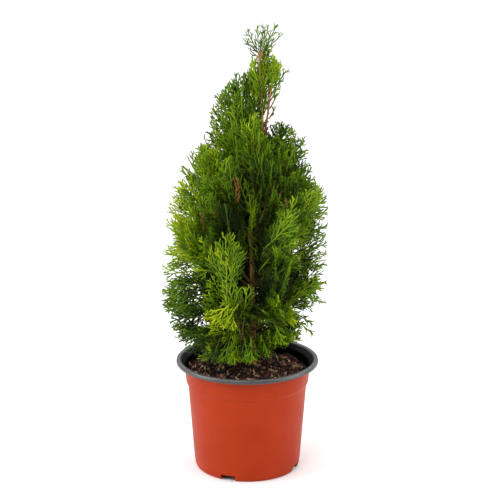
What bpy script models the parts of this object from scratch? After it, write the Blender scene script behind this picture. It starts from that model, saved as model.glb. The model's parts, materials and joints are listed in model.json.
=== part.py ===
# Potted emerald green arborvitae: a young conifer in a two-colour nursery pot.
# Metres, +Z up. The origin is the centre of the pot's underside, and the front faces -Y.
# Azimuths are in degrees, 0 at the front and growing towards +X.

import math
import random

import bmesh
import bpy
import numpy as np
from mathutils import Matrix, Vector

# Pot: a terracotta outer skin, a black inner skin with the rolled lip, and the soil
TURN_STEPS = 36
SKIN = 0.0008
SKIN_RISE = 0.0002
GAP = 0.0003
LIP_TOP = 0.1345
LIP_RADIUS = 0.085
# the lip's section, in from its outer radius and down from its top: over it and back under
LIP_SECTION = (
    (0.0060, 0.0006), (0.0044, 0.0), (0.0020, 0.0001), (0.0, 0.0022),
    (0.0, 0.0048), (0.0011, 0.0048), (0.0014, 0.0021), (0.0054, 0.0017),
)
LINING_NECK = 0.0007
COLLAR_TOP = 0.1271
COLLAR_TOP_RADIUS = 0.0756
COLLAR_FOOT = 0.1060
COLLAR_FOOT_RADIUS = 0.0731
WALL_TOP = 0.1040
WALL_TOP_RADIUS = 0.0710
WALL_FOOT = 0.0080
WALL_FOOT_RADIUS = 0.0636
FOOT_ROUND = ((0.0630, 0.0036), (0.0621, 0.0011), (0.0607, 0.0))
FOOT_RING_INNER = 0.0540
CHANNEL_HEIGHT = 0.0038
CHANNEL_SLOPE = 0.0012
CHANNEL_INNER = 0.0300
PAD_RADIUS = 0.0280
FLOOR_TOP = 0.0046
FLOOR_ROUND = 0.0006
NOTCH_COUNT = 4
NOTCH_FIRST_AZIMUTH = -21.6
NOTCH_SIZE = (0.0175, 0.016, 0.0068)
HOLE_COUNT = 6
HOLE_RADIUS = 0.0042
HOLE_CIRCLE = 0.0415
HOLE_SIDES = 10
HOLE_OVERSHOOT = 0.00018
SOIL_TOP = 0.1220
SOIL_LUMP = 0.0016
SOIL_FLAT_RADIUS = 0.0150
SOIL_RINGS = (0.030, 0.045, 0.060)
SOIL_CLEAR = 2 * GAP
SOIL_BOTTOM = FLOOR_TOP + SKIN + 3 * GAP
STEP_CLEAR = (0.0012, 0.0002)

# Trunk: its lean by height, and its radius by height with the flare at the soil
TRUNK_FOOT = SOIL_TOP + GAP
TRUNK_TIP = 0.4840
LEAN_HEIGHTS = (0.122, 0.200, 0.290, 0.335, 0.388, 0.435, 0.470, 0.500)
LEAN_SIDEWAYS = (0.0065, 0.0065, 0.0045, 0.0090, 0.0170, 0.0175, 0.0150, 0.0130)
LEAN_DEPTH = (0.0, 0.001, 0.002, 0.002, 0.0, -0.001, -0.001, 0.0)
GIRTH_HEIGHTS = (0.122, 0.1245, 0.129, 0.136, 0.200, 0.300, 0.400, 0.484)
GIRTH_RADII = (0.0070, 0.0056, 0.0045, 0.0038, 0.0030, 0.0025, 0.0018, 0.0010)
TRUNK_RINGS = 20
TRUNK_EVEN_FROM = 0.148
FOOT_RIM = 0.0006

# Crown outline: its furthest left and right at each height, seen from the front
OUTLINE_HEIGHTS = (
    0.1375, 0.150, 0.177, 0.203, 0.238, 0.269, 0.299, 0.329, 0.359,
    0.388, 0.418, 0.432, 0.447, 0.476, 0.490, 0.505, 0.521, 0.536,
)
OUTLINE_LEFT = (
    -0.078, -0.086, -0.094, -0.106, -0.100, -0.098, -0.093, -0.088, -0.074,
    -0.058, -0.044, -0.042, -0.037, -0.016, -0.003, 0.001, -0.007, 0.009,
)
OUTLINE_RIGHT = (
    0.056, 0.064, 0.076, 0.088, 0.090, 0.094, 0.099, 0.094, 0.076,
    0.066, 0.046, 0.034, 0.036, 0.045, 0.041, 0.027, 0.042, 0.034,
)
CROWN_DEPTH = 0.94

# Tiers of boughs from the soil up. Each tier fills a band between two upturned cones, and its
# boughs part the band into equal sectors. foot is where a bough leaves the trunk, rise and share
# place the end of its mass's stem, and climbs are the angles that its sprays rise at. The mass
# that under_tuft numbers stops below the side leader's tuft.
CONE_SLOPE = 0.85
TIERS = (
    dict(name="skirt", count=5, first=-92, cones=(0.0, 0.142), levels=(0.138, 0.232),
         foot=0.134, rise=0.166, share=0.56, radius=0.0022, sprays=6, blade=0.088,
         climbs=(36, 4)),
    dict(name="low", count=5, first=-52, cones=(0.142, 0.202), levels=(0.140, 0.300),
         foot=0.166, rise=0.210, share=0.52, radius=0.0023, sprays=6, blade=0.080,
         climbs=(50, 24)),
    dict(name="middle", count=5, first=-95, cones=(0.202, 0.265), levels=(0.190, 0.370),
         foot=0.221, rise=0.272, share=0.52, radius=0.0021, sprays=5, blade=0.084,
         climbs=(56, 28)),
    dict(name="upper", count=4, first=-70, cones=(0.265, 0.336), levels=(0.250, 0.435),
         foot=0.282, rise=0.340, share=0.48, radius=0.0018, sprays=6, blade=0.080,
         climbs=(64, 36)),
    dict(name="shoulder", count=4, first=-90, cones=(0.336, 0.600), levels=(0.330, 0.482),
         foot=0.346, rise=0.402, share=0.52, radius=0.0015, sprays=5, blade=0.084,
         climbs=(79, 40), under_tuft=3),
)
FOOT_CHANCE = (-0.003, 0.007)
RISE_CHANCE = (-0.007, 0.007)
SIDE_LEADER = dict(azimuth=68, foot=0.392, tip=0.448, reach=0.0100, radius=0.0015,
                   bend_reach=0.75, bend_rise=0.006)
SIDE_TUFT = dict(name="side_leader", azimuth=90, half=45, cones=(0, 1), levels=(0.436, 0.482),
                 rise=0.460, reach=0.012, onward=0.006, sprays=4, blade=0.040, climbs=(76, 38))
TIP_TUFT = dict(name="tip", azimuth=90, half=180, cones=(0, 1), levels=(0.484, 0.537),
                rise=0.502, reach=0.003, onward=0.010, sprays=6, blade=0.042, climbs=(80, 44))

# Foliage rule
LINE_POINTS = 11
LEADER_POINTS = 5
TUFT_POINTS = 4
BEND_REACH = 0.5
BEND_RISE = 0.22
BOUGH_SHARE = 0.5
BOUGH_TAPER = 0.68
LEADER_TAPER = 0.7
STEM_TIP_RADIUS = 0.0009
TWIG_RADIUS = 0.0009
TWIG_FLARE = 1.15
TWIG_ONWARD = 0.10
SPREAD_SHARE = 0.82
STEM_SHARE = 0.84
INNER_SHARE = 0.45
ROOT_SUNK = 0.003
BLADE_THICKNESS = 0.0010
BLADE_CHANCE = (0.88, 1.08)
BLADE_SHRINK = 0.85
SHORTEST_BLADE = 0.014
RIB_HALF_WIDTH = 0.00063
FINGER_SPACING = 0.019
MOST_FINGERS = 3
FINGER_START = 0.05
FINGER_RUN = 0.80
FINGER_ANGLE = 44
FINGER_SHARE = 0.62
FINGER_SWELL = (0.30, 0.60)
FINGER_CHANCE = (0.86, 1.0)
VALLEY_RUN = 0.93
VALLEY_SHARE = 0.15
BLADE_ROLLS = (6, 28)
CLIMB_CHANCE = 7
TURN_CHANCE = 5
MARCH = 0.0015
WALL_CLEAR = 0.0009
LIMB_CLEAR = 0.0008
LIMB_STEP = 0.0015
FLAT_ANGLE = math.radians(0.2)
TIDIES = ((0.00002, True), (0.000005, True), (0.00002, False), (0.000002, False))
SEED = 41
TIER_SEED_STEP = 100
SHIFT_SEED_STEP = 31
SIDE_TUFT_SEED = SEED + 901
TIP_TUFT_SEED = SEED + 902

# Looks, as a colour of the photograph and a roughness
TERRACOTTA = ((181, 60, 29), 0.45)
BLACK_PLASTIC = ((58, 56, 55), 0.4)
SOIL_BROWN = ((52, 32, 22), 0.95)
BARK_BROWN = ((128, 78, 50), 0.8)
GREENS = (
    ((92, 134, 24), 0.6), ((72, 118, 20), 0.6), ((118, 158, 34), 0.6), ((60, 102, 22), 0.6),
)


def linear(colour):
    return [((c / 255 + 0.055) / 1.055) ** 2.4 for c in colour]


def give_material(part, look):
    colour, roughness = look
    material = bpy.data.materials.new(part.name)
    material.use_nodes = True
    shader = material.node_tree.nodes["Principled BSDF"]
    shader.inputs["Base Color"].default_value = (*linear(colour), 1)
    shader.inputs["Roughness"].default_value = roughness
    shader.inputs["Metallic"].default_value = 0
    part.data.materials.append(material)


def direction(azimuth):
    turn = math.radians(azimuth)
    return Vector((math.sin(turn), -math.cos(turn), 0))


# Turned pieces

def turned(name, profile, collection):
    mesh = bpy.data.meshes.new(name)
    points = [(radius, 0, height) for radius, height in profile]
    mesh.from_pydata(points, [(k, k + 1) for k in range(len(points) - 1)], [])
    part = bpy.data.objects.new(name, mesh)
    collection.objects.link(part)
    screw = part.modifiers.new("turn", "SCREW")
    screw.steps = screw.render_steps = TURN_STEPS
    screw.use_merge_vertices = True
    screw.merge_threshold = 0.00001
    screw.use_smooth_shade = True
    return part


def cut_by(part, cutters):
    cut = part.modifiers.new("cut", "BOOLEAN")
    cut.operation = "DIFFERENCE"
    cut.operand_type = "COLLECTION"
    cut.collection = cutters


def make_pot(collection, notches, holes):
    outer = [
        (COLLAR_TOP_RADIUS, COLLAR_TOP),
        (COLLAR_FOOT_RADIUS, COLLAR_FOOT),
        (WALL_TOP_RADIUS, WALL_TOP),
        (WALL_FOOT_RADIUS, WALL_FOOT),
        *FOOT_ROUND,
    ]
    underside = [
        (FOOT_RING_INNER, 0),
        (FOOT_RING_INNER - CHANNEL_SLOPE, CHANNEL_HEIGHT),
        (CHANNEL_INNER, CHANNEL_HEIGHT),
        (PAD_RADIUS, 0),
        (0, 0),
    ]
    inner = [(0, FLOOR_TOP), (WALL_FOOT_RADIUS - SKIN - FLOOR_ROUND, FLOOR_TOP)]
    inner += [(radius - SKIN, height + SKIN_RISE) for radius, height in reversed(outer[:4])]
    inner[-1] = (COLLAR_TOP_RADIUS - SKIN, COLLAR_TOP)
    pot = turned("pot", inner + outer + underside, collection)
    cut_by(pot, notches)
    cut_by(pot, holes)
    give_material(pot, TERRACOTTA)


def make_lining(collection, holes):
    back = SKIN + GAP
    floor = FLOOR_TOP + GAP
    outer = [
        (COLLAR_TOP_RADIUS - back, COLLAR_TOP + LINING_NECK),
        (COLLAR_FOOT_RADIUS - back, COLLAR_FOOT + GAP),
        (WALL_TOP_RADIUS - back, WALL_TOP + GAP),
        (WALL_FOOT_RADIUS - back, WALL_FOOT + GAP),
        (WALL_FOOT_RADIUS - back - LINING_NECK, floor),
    ]
    lip = [(LIP_RADIUS - inward, LIP_TOP - down) for inward, down in LIP_SECTION]
    inner = [(0, floor + SKIN)]
    inner += [(radius - SKIN, height + SKIN_RISE) for radius, height in reversed(outer)]
    inner[1] = (inner[1][0], floor + SKIN)
    lining = turned("pot_lining", inner + lip + outer + [(0, floor)], collection)
    cut_by(lining, holes)
    give_material(lining, BLACK_PLASTIC)


def lining_inner_radius(height):
    heights = (FLOOR_TOP, WALL_TOP, COLLAR_FOOT, COLLAR_TOP)
    radii = (WALL_FOOT_RADIUS - 0.0008, WALL_TOP_RADIUS, COLLAR_FOOT_RADIUS, COLLAR_TOP_RADIUS)
    return float(np.interp(height, heights, radii)) - 2 * SKIN - GAP


def make_soil(collection):
    top = [(radius, SOIL_TOP) for radius in (0, SOIL_FLAT_RADIUS, *SOIL_RINGS)]
    above, below = STEP_CLEAR
    wall = [(lining_inner_radius(z), z) for z in (SOIL_TOP, COLLAR_FOOT + above)]
    wall.append((lining_inner_radius(WALL_TOP), WALL_TOP - below))
    wall.append((lining_inner_radius(SOIL_BOTTOM), SOIL_BOTTOM))
    wall = [(radius - SOIL_CLEAR, height) for radius, height in wall]
    soil = turned("soil", top + wall + [(0, SOIL_BOTTOM)], collection)
    graph = bpy.context.evaluated_depsgraph_get()
    mesh = bpy.data.meshes.new_from_object(soil.evaluated_get(graph))
    soil.modifiers.clear()
    soil.data = mesh
    chance = random.Random(SEED)
    for vertex in mesh.vertices:
        spread = math.hypot(vertex.co.x, vertex.co.y)
        on_top = vertex.co.z > SOIL_TOP - SOIL_LUMP
        if on_top and spread > (SOIL_FLAT_RADIUS + SOIL_RINGS[0]) / 2:
            vertex.co.z += SOIL_LUMP * chance.uniform(-1, 1)
    give_material(soil, SOIL_BROWN)


def make_cutters(notches, holes):
    width, depth, height = NOTCH_SIZE
    for k in range(NOTCH_COUNT):
        azimuth = NOTCH_FIRST_AZIMUTH + 360 * k / NOTCH_COUNT
        mesh = bpy.data.meshes.new("notch")
        shape = bmesh.new()
        bmesh.ops.create_cube(shape, size=1)
        bmesh.ops.scale(shape, vec=(width, depth, 2 * height), verts=shape.verts)
        shape.to_mesh(mesh)
        shape.free()
        notch = bpy.data.objects.new(f"notch_{k + 1}", mesh)
        notch.location = direction(azimuth) * (WALL_FOOT_RADIUS + FOOT_RING_INNER) / 2
        notch.rotation_euler.z = math.radians(azimuth)
        notches.objects.link(notch)
    through = FLOOR_TOP + GAP + SKIN + HOLE_OVERSHOOT
    for k in range(HOLE_COUNT):
        mesh = bpy.data.meshes.new("hole")
        shape = bmesh.new()
        bmesh.ops.create_cone(shape, cap_ends=True, segments=HOLE_SIDES, radius1=HOLE_RADIUS,
                              radius2=HOLE_RADIUS, depth=2 * through)
        shape.to_mesh(mesh)
        shape.free()
        hole = bpy.data.objects.new(f"hole_{k + 1}", mesh)
        hole.location = direction(360 * (k + 0.5) / HOLE_COUNT) * HOLE_CIRCLE
        holes.objects.link(hole)
    for cutter in (*notches.objects, *holes.objects):
        cutter.hide_render = True
        cutter.display_type = "WIRE"


# The trunk's line and the crown's reach, which every limb and mass is placed by

def trunk_centre(height):
    near = [height - 0.02, height - 0.01, height, height + 0.01, height + 0.02]
    sideways = float(np.interp(near, LEAN_HEIGHTS, LEAN_SIDEWAYS).mean())
    depth = float(np.interp(near, LEAN_HEIGHTS, LEAN_DEPTH).mean())
    return Vector((sideways, depth, height))


def trunk_radius(height):
    return float(np.interp(height, GIRTH_HEIGHTS, GIRTH_RADII))


def place(azimuth, reach, height):
    return trunk_centre(height) + direction(azimuth) * reach


def crown_reach(azimuth, height):
    if not OUTLINE_HEIGHTS[0] <= height <= OUTLINE_HEIGHTS[-1]:
        return 0
    centre = trunk_centre(height).x
    left = centre - float(np.interp(height, OUTLINE_HEIGHTS, OUTLINE_LEFT))
    right = float(np.interp(height, OUTLINE_HEIGHTS, OUTLINE_RIGHT)) - centre
    towards = direction(azimuth)
    side = right if towards.x > 0 else left
    depth = CROWN_DEPTH * (left + right) / 2
    return 1 / math.hypot(towards.x / side, towards.y / depth)


def in_space(mass, point):
    if not mass["levels"][0] < point.z < mass["levels"][1]:
        return False
    offset = point - trunk_centre(point.z)
    spread = math.hypot(offset.x, offset.y)
    azimuth = math.degrees(math.atan2(offset.x, -offset.y))
    if spread > crown_reach(azimuth, point.z):
        return False
    cone = point.z - CONE_SLOPE * spread
    if not mass["cones"][0] + WALL_CLEAR < cone < mass["cones"][1] - WALL_CLEAR:
        return False
    if mass["half"] >= 180:
        return True
    turn = abs((azimuth - mass["azimuth"] + 180) % 360 - 180)
    from_wall = spread * math.sin(math.radians(mass["half"] - turn))
    return turn < mass["half"] and from_wall > WALL_CLEAR


# Limbs

def limb_samples(route, radii):
    samples = []
    for (a, b), (ra, rb) in zip(zip(route, route[1:]), zip(radii, radii[1:])):
        steps = max(1, math.ceil((b - a).length / LIMB_STEP))
        samples += [(a.lerp(b, k / steps), ra + (rb - ra) * k / steps) for k in range(steps + 1)]
    return samples


def tube(name, route, radii, resolution, collection):
    curve = bpy.data.curves.new(name, "CURVE")
    curve.dimensions = "3D"
    curve.bevel_depth = 1
    curve.bevel_resolution = resolution
    curve.use_fill_caps = True
    spline = curve.splines.new("POLY")
    spline.points.add(len(route) - 1)
    for point, position, radius in zip(spline.points, route, radii):
        point.co = (*position, 1)
        point.radius = radius
    spline.use_smooth = True
    limb = bpy.data.objects.new(name, curve)
    collection.objects.link(limb)
    return limb


def as_mesh(part, collection):
    bpy.context.view_layer.update()
    graph = bpy.context.evaluated_depsgraph_get()
    mesh = bpy.data.meshes.new_from_object(part.evaluated_get(graph))
    shape = bmesh.new()
    shape.from_mesh(mesh)
    bmesh.ops.remove_doubles(shape, verts=shape.verts, dist=0.00001)
    shape.to_mesh(mesh)
    shape.free()
    solid = bpy.data.objects.new(part.name, mesh)
    solid.matrix_world = part.matrix_world.copy()
    name = part.name
    curve = part.data
    bpy.data.objects.remove(part)
    bpy.data.curves.remove(curve)
    solid.name = name
    collection.objects.link(solid)
    return solid


def trunk_line():
    heights = [TRUNK_FOOT, TRUNK_FOOT + FOOT_RIM, *GIRTH_HEIGHTS[1:4]]
    heights += list(np.linspace(TRUNK_EVEN_FROM, TRUNK_TIP, TRUNK_RINGS - len(heights)))
    route = [trunk_centre(z) for z in heights]
    route[0].xy = route[1].xy
    return route, [trunk_radius(z) for z in heights]


def curved(start, bend, end, count):
    steps = [k / (count - 1) for k in range(count)]
    return [start * (1 - t) ** 2 + bend * (2 * t * (1 - t)) + end * t * t for t in steps]


def bough_and_stem(mass):
    # one line from the trunk to the end of the mass's stem, parted where the bough ends
    azimuth = mass["azimuth"]
    end_reach = mass["share"] * crown_reach(azimuth, mass["rise"])
    foot = place(azimuth, trunk_radius(mass["foot"]) + GAP, mass["foot"])
    collar = foot + direction(azimuth) * mass["radius"]
    end = place(azimuth, end_reach, mass["rise"])
    climb = mass["rise"] - mass["foot"]
    bend = place(azimuth, BEND_REACH * end_reach, mass["foot"] + BEND_RISE * climb)
    line = curved(collar, bend, end, LINE_POINTS)
    parting = round(BOUGH_SHARE * (LINE_POINTS - 1))
    bough = [foot, *line[:parting + 1:2]]
    if bough[-1] != line[parting]:
        bough.append(line[parting])
    onward = (line[parting + 1] - line[parting]).normalized()
    stem = [line[parting] + onward * GAP, *line[parting + 2::2]]
    if stem[-1] != line[-1]:
        stem.append(line[-1])
    return bough, stem


def tapered(count, start, end):
    return [start + (end - start) * k / (count - 1) for k in range(count)]


# Sprays

def blade_frame(root, towards, roll):
    # X runs along the rib and Z is the blade's normal; with no roll the blade stands upright
    across = towards.cross(Vector((0, 0, 1))).normalized()
    normal = Matrix.Rotation(math.radians(roll), 3, towards) @ across
    sideways = normal.cross(towards)
    frame = Matrix((towards, sideways, normal)).transposed().to_4x4()
    frame.translation = root
    return frame


def room_along(mass, start, towards, most):
    # how far a shoot grows before it would leave the mass's space
    reached = 0
    while reached < most and in_space(mass, start + towards * (reached + MARCH)):
        reached += MARCH
    return min(reached, most)


def blade_outline(mass, frame, length, chance):
    # the outline of a spray: pointed fingers on alternate sides of its rib, root at the origin
    lean = math.radians(FINGER_ANGLE)
    turn = frame.to_3x3()
    most = min(MOST_FINGERS, max(2, round(length / FINGER_SPACING)))
    step = FINGER_RUN * length / most
    first = chance.choice((1, -1))
    swell_from, swell_run = FINGER_SWELL
    edges = []
    for side in (1, -1):
        fingers = most if side == first else most - 1
        start = FINGER_START * length + (0 if side == first else 0.5 * step)
        towards = turn @ Vector((math.cos(lean), side * math.sin(lean), 0))
        edge = [(-ROOT_SUNK, side * RIB_HALF_WIDTH)]
        for k in range(fingers):
            foot = start + k * step
            swell = math.sin(math.pi * (swell_from + swell_run * foot / length))
            wanted = FINGER_SHARE * length * swell * chance.uniform(*FINGER_CHANCE)
            finger = room_along(mass, frame @ Vector((foot, 0, 0)), towards, wanted)
            finger = max(finger, 3 * RIB_HALF_WIDTH)
            valley = RIB_HALF_WIDTH + VALLEY_SHARE * finger
            edge.append((foot + finger * math.cos(lean), side * finger * math.sin(lean)))
            edge.append((foot + VALLEY_RUN * step, side * valley))
        edges.append(edge)
    return edges[0] + [(length, 0)] + edges[1][::-1]


def touches_limb(frame, outline, limbs):
    back = frame.inverted()
    low = min(y for _, y in outline) - LIMB_CLEAR
    high = max(y for _, y in outline) + LIMB_CLEAR
    length = max(x for x, _ in outline) + LIMB_CLEAR
    for point, radius in limbs:
        local = back @ point
        keep = radius + BLADE_THICKNESS / 2 + LIMB_CLEAR
        beside = low - radius < local.y < high + radius
        if abs(local.z) < keep and 0 < local.x < length + radius and beside:
            return True
    return False


def grow_spray(mass, foot, root, towards, limbs, chance):
    roll = chance.choice((-1, 1)) * chance.uniform(*BLADE_ROLLS)
    frame = blade_frame(root, towards, roll)
    length = room_along(mass, root, towards, mass["blade"] * chance.uniform(*BLADE_CHANCE))
    while length > SHORTEST_BLADE:
        outline = blade_outline(mass, frame, length, chance)
        if not touches_limb(frame, outline, limbs):
            return dict(foot=foot, root=root, frame=frame, outline=outline)
        length *= BLADE_SHRINK
    return None


def point_on(line, share):
    spot = min(share, 1) * (len(line) - 1)
    leg = min(int(spot), len(line) - 2)
    return line[leg].lerp(line[leg + 1], spot - leg)


def spray_places(count):
    # the first spray ends the stem, and the rest stand evenly across the mass from left to right
    places = [(0, 1)]
    for k in range(count - 1):
        across = (2 * k + 2 - count) / (count - 1)
        places.append((across, 1 - STEM_SHARE * abs(across) if across else INNER_SHARE))
    return places


def grow_sprays(mass, stem, limbs):
    chance = random.Random(mass["seed"])
    sprays = []
    for k, (across, share) in enumerate(spray_places(mass["sprays"])):
        foot = point_on(stem, share)
        onward = point_on(stem, share + TWIG_ONWARD)
        spread = (onward - trunk_centre(onward.z)).xy.length
        swing = chance.uniform(-TURN_CHANCE, TURN_CHANCE) * (k > 0)
        azimuth = mass["azimuth"] + (SPREAD_SHARE * across * mass["half"] + swing)
        root = place(azimuth, spread, onward.z)
        climb = mass["climbs"][(k + mass["seed"]) % 2]
        climb += chance.uniform(-CLIMB_CHANCE, CLIMB_CHANCE)
        up = math.radians(climb)
        towards = direction(azimuth) * math.cos(up) + Vector((0, 0, math.sin(up)))
        spray = grow_spray(mass, foot, root, towards, limbs, chance)
        if spray:
            sprays.append(spray)
    return sprays


def make_blade(spray, collection):
    curve = bpy.data.curves.new("blade", "CURVE")
    curve.dimensions = "2D"
    curve.fill_mode = "BOTH"
    curve.extrude = BLADE_THICKNESS / 2
    spline = curve.splines.new("POLY")
    spline.points.add(len(spray["outline"]) - 1)
    for point, (x, y) in zip(spline.points, spray["outline"]):
        point.co = (x, y, 0, 1)
    spline.use_cyclic_u = True
    blade = bpy.data.objects.new("blade", curve)
    blade.matrix_world = spray["frame"]
    collection.objects.link(blade)
    return as_mesh(blade, collection)


def make_twig(spray, collection):
    run = spray["root"] - spray["foot"]
    length = run.length + TWIG_RADIUS
    mesh = bpy.data.meshes.new("twig")
    shape = bmesh.new()
    bmesh.ops.create_cone(shape, cap_ends=True, segments=3, radius1=TWIG_RADIUS * TWIG_FLARE,
                          radius2=TWIG_RADIUS, depth=length)
    shape.to_mesh(mesh)
    shape.free()
    twig = bpy.data.objects.new("twig", mesh)
    turn = run.to_track_quat("Z", "Y").to_matrix().to_4x4()
    middle = spray["foot"] + run.normalized() * length / 2
    twig.matrix_world = Matrix.Translation(middle) @ turn
    collection.objects.link(twig)


def largest_body(shape):
    # drops loose scrap and sealed hollows, which come out of a union as bodies of their own
    left = set(shape.faces)
    bodies = []
    while left:
        body = []
        front = [left.pop()]
        while front:
            face = front.pop()
            body.append(face)
            beside = {other for edge in face.edges for other in edge.link_faces} & left
            left -= beside
            front += beside
        bodies.append(body)
    bodies.sort(key=len)
    for body in bodies[:-1]:
        bmesh.ops.delete(shape, geom=body, context="FACES")


def tidy_union(mesh):
    # the strongest tidy that leaves the surface closed: weld slivers, then merge flat faces
    for weld, flatten in TIDIES:
        shape = bmesh.new()
        shape.from_mesh(mesh)
        bmesh.ops.remove_doubles(shape, verts=shape.verts, dist=weld)
        if flatten:
            bmesh.ops.dissolve_limit(shape, angle_limit=FLAT_ANGLE, verts=shape.verts,
                                     edges=shape.edges)
        bmesh.ops.triangulate(shape, faces=shape.faces)
        largest_body(shape)
        closed = all(len(edge.link_faces) == 2 for edge in shape.edges)
        if closed:
            shape.to_mesh(mesh)
        shape.free()
        if closed:
            return


def make_mass(mass, stem, stem_radius, limbs, collection):
    name = "foliage_" + mass["name"]
    pieces = bpy.data.collections.new(name + "_pieces")
    bpy.context.scene.collection.children.link(pieces)
    radii = tapered(len(stem), stem_radius, STEM_TIP_RADIUS)
    body = as_mesh(tube(name, stem, radii, 0, collection), collection)
    sprays = grow_sprays(mass, stem, limbs)
    for spray in sprays:
        make_blade(spray, pieces)
        if (spray["root"] - spray["foot"]).length > TWIG_RADIUS:
            make_twig(spray, pieces)
    join = body.modifiers.new("join", "BOOLEAN")
    join.operation = "UNION"
    join.operand_type = "COLLECTION"
    join.collection = pieces
    bpy.context.view_layer.update()
    graph = bpy.context.evaluated_depsgraph_get()
    mesh = bpy.data.meshes.new_from_object(body.evaluated_get(graph))
    body.modifiers.clear()
    body.data = mesh
    body.name = name
    tidy_union(mesh)
    for piece in list(pieces.objects):
        bpy.data.objects.remove(piece)
    bpy.data.collections.remove(pieces)
    give_material(body, GREENS[mass["seed"] % len(GREENS)])
    return len(sprays)


def tier_masses(tier):
    masses = []
    for k in range(tier["count"]):
        chance = random.Random(SEED + SHIFT_SEED_STEP * len(tier["name"]) + k)
        mass = dict(tier)
        mass["name"] = f"{tier['name']}_{k + 1}"
        mass["azimuth"] = tier["first"] + 360 * k / tier["count"]
        mass["half"] = 180 / tier["count"]
        mass["foot"] = tier["foot"] + chance.uniform(*FOOT_CHANCE)
        mass["rise"] = tier["rise"] + chance.uniform(*RISE_CHANCE)
        mass["seed"] = SEED + TIER_SEED_STEP * len(tier["name"]) + k
        if k + 1 == tier.get("under_tuft"):
            mass["levels"] = (tier["levels"][0], SIDE_TUFT["levels"][0])
        masses.append(mass)
    return masses


def tuft_stem(tuft, route):
    # a tuft's stem carries on from the end of its leader
    onward = (route[-1] - route[-2]).normalized()
    start = route[-1] + onward * GAP
    end = place(tuft["azimuth"], tuft["reach"], tuft["rise"])
    return curved(start, start + onward * tuft["onward"], end, TUFT_POINTS)


def make_side_leader(collection):
    azimuth = SIDE_LEADER["azimuth"]
    foot_height = SIDE_LEADER["foot"]
    reach = SIDE_LEADER["reach"]
    radius = SIDE_LEADER["radius"]
    foot = place(azimuth, trunk_radius(foot_height) + GAP, foot_height)
    collar = foot + direction(azimuth) * radius
    bend_height = foot_height + SIDE_LEADER["bend_rise"]
    bend = place(azimuth, SIDE_LEADER["bend_reach"] * reach, bend_height)
    tip = place(azimuth, reach, SIDE_LEADER["tip"])
    route = [foot, *curved(collar, bend, tip, LEADER_POINTS)]
    radii = tapered(len(route), radius, LEADER_TAPER * radius)
    leader = tube("side_leader", route, radii, 1, collection)
    give_material(leader, BARK_BROWN)
    return route, radii


def make_bough(mass, collection):
    route, stem = bough_and_stem(mass)
    radii = tapered(len(route), mass["radius"], BOUGH_TAPER * mass["radius"])
    bough = tube("bough_" + mass["name"], route, radii, 1, collection)
    give_material(bough, BARK_BROWN)
    return route, radii, stem


def make_plant(collection):
    route, radii = trunk_line()
    trunk = tube("trunk", route, radii, 2, collection)
    give_material(trunk, BARK_BROWN)
    side_route, side_radii = make_side_leader(collection)
    limbs = limb_samples(route, radii) + limb_samples(side_route, side_radii)
    counts = {}
    for tier in TIERS:
        for mass in tier_masses(tier):
            bough_route, bough_radii, stem = make_bough(mass, collection)
            near = limbs + limb_samples(bough_route, bough_radii)
            counts[mass["name"]] = make_mass(mass, stem, bough_radii[-1], near, collection)
    side_tuft = dict(SIDE_TUFT, seed=SIDE_TUFT_SEED)
    side_stem = tuft_stem(side_tuft, side_route)
    counts["side_leader"] = make_mass(side_tuft, side_stem, side_radii[-1], limbs, collection)
    tip_tuft = dict(TIP_TUFT, seed=TIP_TUFT_SEED)
    tip_stem = tuft_stem(tip_tuft, route)
    counts["tip"] = make_mass(tip_tuft, tip_stem, radii[-1], limbs, collection)
    return counts


def main():
    for old in list(bpy.data.objects):
        bpy.data.objects.remove(old)
    parts = bpy.data.collections.new("potted_arborvitae")
    notches = bpy.data.collections.new("notch_cutters")
    holes = bpy.data.collections.new("hole_cutters")
    for collection in (parts, notches, holes):
        bpy.context.scene.collection.children.link(collection)
    counts = make_plant(parts)
    make_soil(parts)
    make_cutters(notches, holes)
    make_pot(parts, notches, holes)
    make_lining(parts, holes)
    print("sprays in each mass:", counts, "in all:", sum(counts.values()))


main()
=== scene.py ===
import json
import math
import random

import bpy
import numpy as np
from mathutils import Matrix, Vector, noise

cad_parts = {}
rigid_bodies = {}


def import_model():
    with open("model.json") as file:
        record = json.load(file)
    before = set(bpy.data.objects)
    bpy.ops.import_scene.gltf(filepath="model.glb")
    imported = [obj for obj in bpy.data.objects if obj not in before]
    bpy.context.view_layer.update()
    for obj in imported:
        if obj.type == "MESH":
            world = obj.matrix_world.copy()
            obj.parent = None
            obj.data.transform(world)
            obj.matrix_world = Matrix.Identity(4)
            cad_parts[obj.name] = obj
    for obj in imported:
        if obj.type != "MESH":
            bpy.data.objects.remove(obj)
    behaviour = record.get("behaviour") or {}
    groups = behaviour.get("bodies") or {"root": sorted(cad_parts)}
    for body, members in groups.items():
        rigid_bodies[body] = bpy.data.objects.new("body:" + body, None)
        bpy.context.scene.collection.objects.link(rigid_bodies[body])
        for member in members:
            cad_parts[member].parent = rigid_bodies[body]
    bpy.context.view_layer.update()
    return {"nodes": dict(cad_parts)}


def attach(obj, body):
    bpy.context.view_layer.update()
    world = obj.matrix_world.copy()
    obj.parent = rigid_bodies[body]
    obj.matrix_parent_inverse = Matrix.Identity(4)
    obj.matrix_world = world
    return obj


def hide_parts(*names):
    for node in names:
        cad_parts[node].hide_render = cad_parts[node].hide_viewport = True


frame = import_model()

print("frame loaded,", len(frame["nodes"]), "nodes")

# Camera, light and floor

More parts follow.
